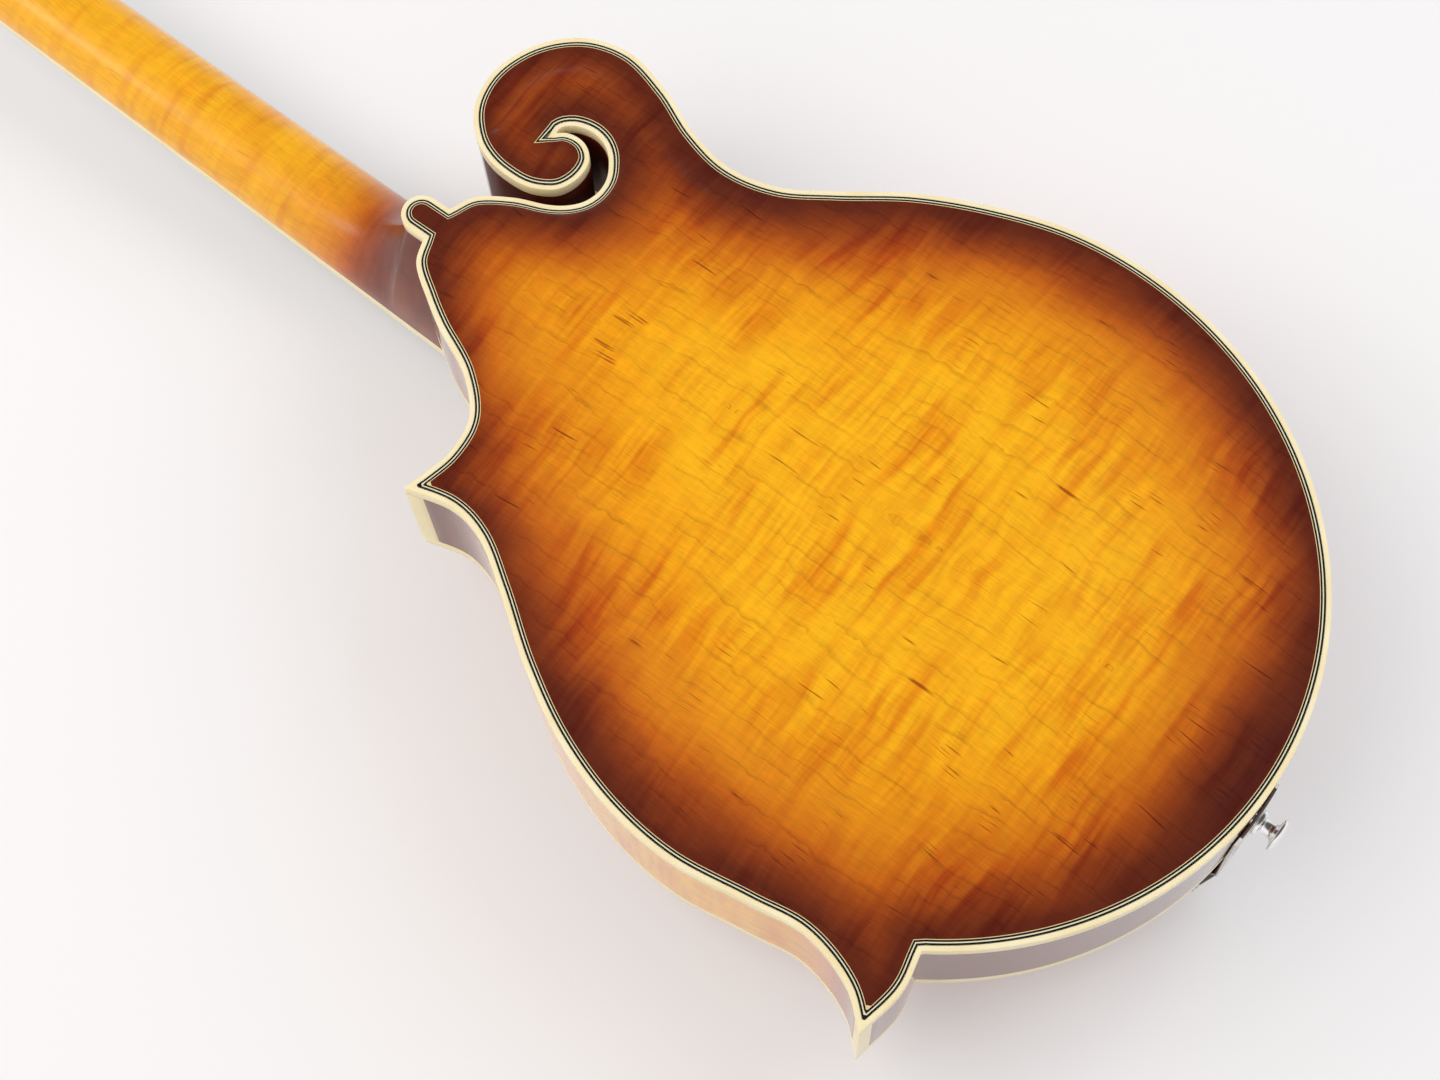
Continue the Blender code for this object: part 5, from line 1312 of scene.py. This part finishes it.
COVER = ((9.5, 9), (10, 16), (7, 24), (4.5, 32), (0, 35))
COVER_FRONT = -4.1
cover_side = [tuple(mark) for mark in smooth_curve(COVER, 1.2)] + [COVER[-1]]
cover = prism("rod_cover", both_sides(cover_side), COVER_FRONT, -2.6)
rounded(cover, 0.45, 2, 40)
settle(cover, "truss_rod_cover", ebony, stands_for=["truss_cover"], at=HEAD_FRAME)
screw = screw_head(1.1)
cover_screws = [copied(screw, spot(x, COVER_FRONT, z, FACING_FRONT)) for x, z in ((-6.5, 12), (6.5, 12), (0, 30))]
settle(joined(cover_screws), "cover_screws", nickel, at=HEAD_FRAME)
bpy.data.objects.remove(screw)

# %% [markdown]
# ## Tuners
# On each side a nickel plate carries four machines: a worm on the button's shaft turns a nickel gear on the string
# post. The thread of the worm is a helix, so it is worked out point by point, and the rest is turned and milled. Each
# post and each button is a piece of its own, because they turn.

# %% Plates
PLATE_START, PLATE_END, PLATE_BACK = 17, 115.2, 16.6
GEAR_MIDDLE, WORM_RISE = 19.5, 9.7
for side, word in SIDES:
    plate = milled((18, 1.3, PLATE_END - PLATE_START), (side * POST_X, 15.95, (PLATE_START + PLATE_END) / 2), 0.4)
    parts = [plate]
    for z in POST_Z:
        for ear in (-6, 6):
            lug = milled((1.6, 5.6, 5.6), (side * POST_X + ear, GEAR_MIDDLE - 0.2, z + WORM_RISE), 0)
            bevelled_along_x(lug, lambda end: end.y > 0, 2.2, 5)
            parts.append(drilled(lug, 1.75, -3, 3, spot(side * POST_X + ear, GEAR_MIDDLE, z + WORM_RISE, ALONG_X)))
    for z in POST_Z:
        drilled(plate, 3.3, -4, 4, spot(side * POST_X, 16, z, FACING_BACK), 24)
    screw = screw_head(1.5)
    for z in (20.3, 44.4, 67.4, 90.4, 113.2):
        parts.append(copied(screw, spot(side * POST_X, PLATE_BACK, z, FACING_BACK)))
    bpy.data.objects.remove(screw)
    settle(joined(parts), f"tuner_strip_{word}", brushed, stands_for=[f"tuner_plate_{word}"], at=HEAD_FRAME)
    bushings = []
    for z in POST_Z:
        ring = turned([(3.3, 0), (5.2, 0), (5.2, 0.5), (4.9, 0.9), (4.2, 1.2), (3.3, 1.3)])
        boolean(ring, turned([(3.25, -3), (3.25, 3)]))
        bushings.append(moved(ring, spot(side * POST_X, -2.3, z, FACING_FRONT)))
    settle(joined(bushings), f"post_bushings_{word}", nickel, at=HEAD_FRAME)

# %% String posts with their gears
TEETH = 14


def gear_loop():
    """The outline of the gear, whose teeth have sloping flanks."""
    loop = []
    for step in range(2 * TEETH):
        radius = 6.8 if step % 2 == 0 else 5.8
        for lean in (-0.22, 0.22):
            turn = math.pi * (step + lean) / TEETH
            loop.append((radius * math.cos(turn), radius * math.sin(turn)))
    return loop


post = moved(turned([(2.5, -16.95), (2.85, -16.7), (3, -16.3), (3, -13.4), (2.6, -12.6), (2.45, -10.4), (2.6, -8.2),
                     (3, -7.4), (3, 17.6)]), FACING_BACK)
drilled(post, 0.8, -6, 6, spot(0, -10.6, 0, ALONG_X), 16)
gear = prism("gear", gear_loop(), 17.8, 21.2)
rounded(gear, 0.25, 1, 60)
gear_screw = moved(screw_head(2.0), spot(0, 20.9, 0, FACING_BACK))
post = joined([post, gear, gear_screw])
for side, word in SIDES:
    for number, z in enumerate(POST_Z, 1):
        made = copied(post, spot(side * POST_X, 0, z))
        settle(made, f"post_and_gear_{word}_{number}", nickel, body=f"post_{word}_{number}",
               stands_for=[f"string_post_{word}_{number}"], at=HEAD_FRAME)
bpy.data.objects.remove(post)

# %% Worms and buttons
BUTTON = ((0.3, 0.0), (0.45, 0.02), (0.66, 0.06), (0.86, 0.15), (0.97, 0.28), (1.0, 0.42), (1.0, 0.72), (0.96, 0.86),
          (0.86, 0.95), (0.66, 0.99), (0.3, 1.0))
button = turned([(radius * 8.5, 19.2 + share * 13.6) for radius, share in BUTTON], 40)
moved(button, Matrix.Diagonal((0.62, 1, 1, 1)))
shaft = turned([(1.55, -7.6), (1.6, -7.4), (1.6, 16), (2.6, 16.4), (2.9, 17.6), (2.9, 19), (2.2, 19.8)], 24)
worm = joined([shaft, threaded(2.6, 0.7, 1.5, -4, 4)])
for side, word in SIDES:
    outwards = Matrix.Rotation(math.radians(90 * side), 4, "Y")
    for number, z in enumerate(POST_Z, 1):
        here = spot(side * POST_X, GEAR_MIDDLE, z + WORM_RISE, outwards)
        knob = f"knob_{word}_{number}"
        settle(copied(worm, here), f"worm_{word}_{number}", nickel, body=knob, at=HEAD_FRAME)
        settle(copied(button, here), f"button_{word}_{number}", pearloid, body=knob,
               stands_for=[f"tuner_{knob}"], at=HEAD_FRAME, smooth=50)
bpy.data.objects.remove(worm)
bpy.data.objects.remove(button)

# %% [markdown]
# ## The bridge
# The bridge stands on the top, held only by the strings. An ebony base with two feet fitted to the arch carries two
# threaded studs, and a thumbwheel on each lifts the saddle. Its crest steps to and fro, so that thick and thin strings
# play in tune.

# %% Base of the bridge
BRIDGE_Z, STUD_X = -233.6, 30
BASE_HALF, BASE_TOP, SADDLE_FOOT, SADDLE_TOP = 64, -25.6, -30.3, -38.66


def base_outline():
    """The front view of the base: feet on the arch, relief between them, and low tips."""
    across = np.linspace(-BASE_HALF, BASE_HALF, 65)
    spots = np.stack((across, np.full_like(across, BRIDGE_Z)), 1)
    height = plate_height(spots, edge_distance(spots, TOP_LINE), top_arch)
    relief = 3 * (1 - ease(np.abs(across), 22, 27))
    under = [(x, -h - 0.1 - r) for x, h, r in zip(across, height, relief)]
    share = ease(np.abs(across) / BASE_HALF, 0.5, 1.04)
    over = [(x, BASE_TOP + (-h - 4.3 - BASE_TOP) * s) for x, h, s in zip(across, height, share)]
    return under + over[::-1]


base = prism("base", base_outline(), BRIDGE_Z - 6, BRIDGE_Z + 6, "Z")
for side, _ in SIDES:
    drilled(base, 2.3, -3.6, 3.6, spot(side * STUD_X, BASE_TOP, BRIDGE_Z, FACING_FRONT))
rounded(base, 0.7, 3, 45)
settle(base, "bridge_foot", ebony, stands_for=["bridge_base"], at=BODY_FRAME, smooth=45)

# %% Saddle, wheels and studs
SADDLE_HALF = 39


def crest_shift(x):
    """How far the crest stands off the middle line at a place along the saddle."""
    shift = -0.9
    for start, step in ((-14.5, 1.9), (0, -1.5), (14.5, 1.7)):
        shift += step * float(ease(np.array(x), start - 0.6, start + 0.6))
    return shift


def saddle_section(x):
    """The saddle's cross section at a place along it, as places on the frame's Y and Z: a foot, flanks and a crest."""
    z = crest_shift(x)
    crown = SADDLE_TOP + float(ease(np.array(abs(x)), 33, 39.2)) * 1.6
    crest = ((crown + 2.6, z * 0.6 + 1.7), (crown + 0.5, z + 0.9), (crown, z + 0.3), (crown, z - 0.3),
             (crown + 0.5, z - 0.9), (crown + 2.6, z * 0.6 - 1.7))
    return ((SADDLE_FOOT, -3.7), (SADDLE_FOOT, 3.7), (SADDLE_FOOT - 0.8, 3.7), *crest, (SADDLE_FOOT - 0.8, -3.7))


sections = np.concatenate((np.arange(-SADDLE_HALF, SADDLE_HALF + 0.01, 1.0), (-15.1, -13.9, -0.6, 0.6, 13.9, 15.1)))
vertices = [(x * MM, y * MM, (BRIDGE_Z + across) * MM)
            for x in np.unique(np.round(sections, 2)) for y, across in saddle_section(x)]
saddle = capped("saddle", vertices, 10)
for side, _ in SIDES:
    drilled(saddle, 2.3, -5.6, 5.3, spot(side * STUD_X, SADDLE_FOOT, BRIDGE_Z, FACING_FRONT))
settle(saddle, "saddle_with_crest", ebony, body="saddle", stands_for=["bridge_saddle"], at=BODY_FRAME,
       smooth=30)

KNURLS = 72
for side, word in SIDES:
    here = spot(side * STUD_X, 0, BRIDGE_Z, FACING_FRONT)
    stud = moved(threaded(2.0, 0.3, 0.7, 22.2, 33.7), here)
    settle(stud, f"threaded_stud_{word}", nickel, stands_for=[f"bridge_stud_{word}"], at=BODY_FRAME)
    wheel = turned([(7.0, 27.6), (7.7, 27.75), (8.0, 28.1), (8.0, 29.5), (7.7, 29.85), (7.0, 30.0)], KNURLS)
    for vert in wheel.data.vertices:
        turn = round(math.atan2(vert.co.y, vert.co.x) / (2 * math.pi / KNURLS))
        if math.hypot(vert.co.x, vert.co.y) > 7.6 * MM and turn % 2:
            vert.co.x *= 0.955
            vert.co.y *= 0.955
    boolean(wheel, turned([(2.3, 20), (2.3, 36)], 20))
    settle(moved(wheel, here), f"thumbwheel_{word}", nickel, body=f"wheel_{word}",
           stands_for=[f"bridge_wheel_{word}"], at=BODY_FRAME, smooth=25)

# %% [markdown]
# ## The tailpiece
# A nickel plate, bent to the curve of the tail, is screwed to it. An arm reaches over the top with a row of hooks for
# the loop ends of the strings, and a pressed cover on a hinge pin hides them.

# %% End plate, arm and hooks
TAIL_RADIUS = 150
TAIL_FACE = -399.7
HINGE_Y, HINGE_Z = -25, -392.8
end_plate = prism("end_plate", [(-15, -22), (15, -22), (15, 26), (12, 29), (-12, 29), (-15, 26)], TAIL_FACE,
                  TAIL_FACE + 1.4, "Z")
only(end_plate)
bpy.ops.object.mode_set(mode="EDIT")
for x in range(-12, 13, 3):
    bpy.ops.mesh.select_all(action="SELECT")
    bpy.ops.mesh.bisect(plane_co=(x * MM, 0, 0), plane_no=(1, 0, 0))
bpy.ops.object.mode_set(mode="OBJECT")
drilled(end_plate, 2.8, -5, 5, spot(0, 20, -399.3), 24)
rounded(end_plate, 0.3)
for vert in end_plate.data.vertices:
    vert.co.z += vert.co.x**2 / (2 * TAIL_RADIUS * MM)
arm = prism("arm", [(-22, -303.3), (22, -303.3), (22, -395.8), (15, -398.6), (-15, -398.6), (-22, -395.8)], -22, -20)
rounded(arm, 0.3)
wall = milled((37, 5.6, 2), (0, -24, -317.3))
parts = [end_plate, arm, wall]
for side, _ in SIDES:
    ear = milled((3.5, 6.6, 5.6), (side * 20.25, -24.5, HINGE_Z), 0.5)
    parts.append(drilled(ear, 1.45, -5, 5, spot(side * 20.25, HINGE_Y, HINGE_Z, ALONG_X)))
for course in range(4):
    for pair in (0, 1):
        hook = turned([(0.9, 0), (0.9, 3.6), (0.65, 4.4), (0.2, 4.7)], 16)
        lean = Matrix.Rotation(math.radians(150), 4, "X")
        parts.append(moved(hook, spot(string_x(course, pair, HOOK_GAPS), -24.6, -317.6, lean)))
settle(joined(parts), "tailpiece_frame", nickel, stands_for=["tailpiece_base"], at=BODY_FRAME)
screw = turned([(2.4, -0.6), (2.4, 0.05), (2.0, 0.25), (0.2, 0.3)], 24)
boolean(screw, milled((4.6, 0.45, 0.5), (0, 0, 0.3), 0))
tail_screws = [copied(screw, spot(x, y, TAIL_FACE + x**2 / (2 * TAIL_RADIUS), FACING_TAIL))
               for x, y in ((-10.5, 8), (10.5, 8), (0, 4.5))]
settle(joined(tail_screws), "tailpiece_screws", nickel, at=BODY_FRAME)
bpy.data.objects.remove(screw)

# %% Cover
LID_HALF, LID_FRONT, LID_BACK, LID_WALL = 23.5, -32.0, -22.3, 1.2


def lid_section(shrink):
    """The cover's cross section inside its outer face by a margin."""
    corner = 3.0 - shrink * 0.6
    side, front = LID_HALF - shrink, LID_FRONT + shrink
    arc = [(side - corner + corner * math.cos(turn), front + corner + 0.5 - corner * math.sin(turn))
           for turn in np.linspace(0, math.pi / 2, 7)]
    return both_sides([(side, LID_BACK), *arc, (side * 0.5, front + 0.12), (0, front)])


lid = prism("lid", lid_section(0) + lid_section(LID_WALL)[::-1], -395.0, -299.3, "Z")
for side, _ in SIDES:
    drilled(lid, 1.45, -4, 4, spot(side * 23, HINGE_Y, HINGE_Z, ALONG_X))
rounded(lid, 0.3, 2, 55)
settle(lid, "tailpiece_cover", nickel, body="lid", stands_for=["tailpiece_lid"], at=BODY_FRAME, smooth=40)

# %% [markdown]
# ## Strap button
# A turned button on a flange stands out of the tail. It is polished chrome, and its colour is set near white, brighter
# than real chrome, as a painted reflection.

# %% Strap button
STRAP_BUTTON = ((2.5, 376.3), (2.5, 399.75), (5.3, 399.85), (5.5, 400.05), (5.5, 401.5), (5.2, 401.8), (3.6, 402.1),
                (3.25, 402.6), (3.1, 404.5), (3.2, 406.6), (3.9, 407.5), (5.6, 407.9), (6.9, 408.2), (7.3, 408.7),
                (7.2, 409.3), (6.6, 409.9), (5.4, 410.4), (3.8, 410.8), (2.0, 411.03), (0.6, 411.1))
strap = moved(turned(STRAP_BUTTON, 48), spot(0, 20, 0, FACING_TAIL))
settle(strap, "strap_button_turned", chrome, stands_for=["strap_button"], at=BODY_FRAME, smooth=50)

# %% [markdown]
# ## Strings
# Four pairs of strings, wound bronze in the bass and plain steel in the treble, run from the hooks over the saddle and
# the nut, and wind two or three times round their posts. They are stretched, so they are straight tubes, and a helix
# at the post.

# %% Tubes


def tube(name, path, radii, sides=10):
    """A closed tube along a path. The ring turns as little as it can from point to point."""
    vertices = []
    across = (path[1] - path[0]).normalized().orthogonal().normalized()
    for i, centre in enumerate(path):
        here = (path[min(i + 1, len(path) - 1)] - path[max(i - 1, 0)]).normalized()
        across = (across - here * across.dot(here)).normalized()
        up = here.cross(across)
        for side in range(sides):
            turn = 2 * math.pi * side / sides
            vertices.append(centre + (across * math.cos(turn) + up * math.sin(turn)) * radii[i])
    return capped(name, vertices, sides)


def string_path(course, pair):
    """From the hook to the post, in metres in the world."""
    _, radius, side, first = COURSES[course]
    lift = radius + 0.3
    tail = BODY_FRAME @ Vector((string_x(course, pair, HOOK_GAPS) * MM, -25 * MM, -316 * MM))
    at_saddle = BODY_FRAME @ Vector((string_x(course, pair, SADDLE_GAPS) * MM, (SADDLE_TOP - lift) * MM,
                                     BRIDGE_Z * MM))
    at_nut = NECK_FRAME @ Vector((string_x(course, pair, NUT_GAPS) * MM, (-7.9 - lift) * MM, 4.3 * MM))
    path = [tail.lerp(at_saddle, share) for share in (0, 0.03, 0.06, 0.11, 0.12, 0.5, 0.97)]
    path += [at_saddle, at_saddle.lerp(at_nut, 0.004)]
    path += [at_saddle.lerp(at_nut, share) for share in (0.25, 0.5, 0.75, 0.997)] + [at_nut]
    winding = -2 - 5 - 1.8 * (first + pair)
    reach = 3 + radius + 0.06
    for step in range(int(24 * (2.4 if course < 2 else 3.4)) + 1):
        turn = 2 * math.pi * step / 24
        x = side * (POST_X - reach * math.cos(turn))
        y = winding + (2 * radius + 0.03) * turn / (2 * math.pi)
        path.append(HEAD_FRAME @ Vector((x * MM, y * MM, (POST_Z[first + pair] + reach * math.sin(turn)) * MM)))
    # The loop end is twisted, so its first centimetre is thicker.
    return path, [radius * MM * (1.75 if i < 4 else 1) for i in range(len(path))]


for course, (letter, _, _, _) in enumerate(COURSES):
    finish, slot = (bronze, "bronze") if course < 2 else (steel, "steel")
    for pair in (0, 1):
        made = tube("string_draft", *string_path(course, pair))
        settle(made, f"string_wire_{letter}{pair + 1}", finish, stands_for=[f"string_{letter}{pair + 1}"],
               smooth=60)
print("strings done")

# %% [markdown]
# ## Woodwork inside
# Blocks, linings and tone bars are raw wood that shows only through the f-holes. Their CAD shapes are right, so they
# stay and get a finish.

# %% Finishes for the inner pieces
for name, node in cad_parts.items():
    finish = None
    if name.startswith(("lining", "tone_bar", "point_block")) or name.endswith("_block"):
        finish = raw_spruce
    if name in ("truss_rod", "tailpiece_hinge_pin"):
        finish = steel
    if finish:
        for place in node.material_slots:
            place.material = finish
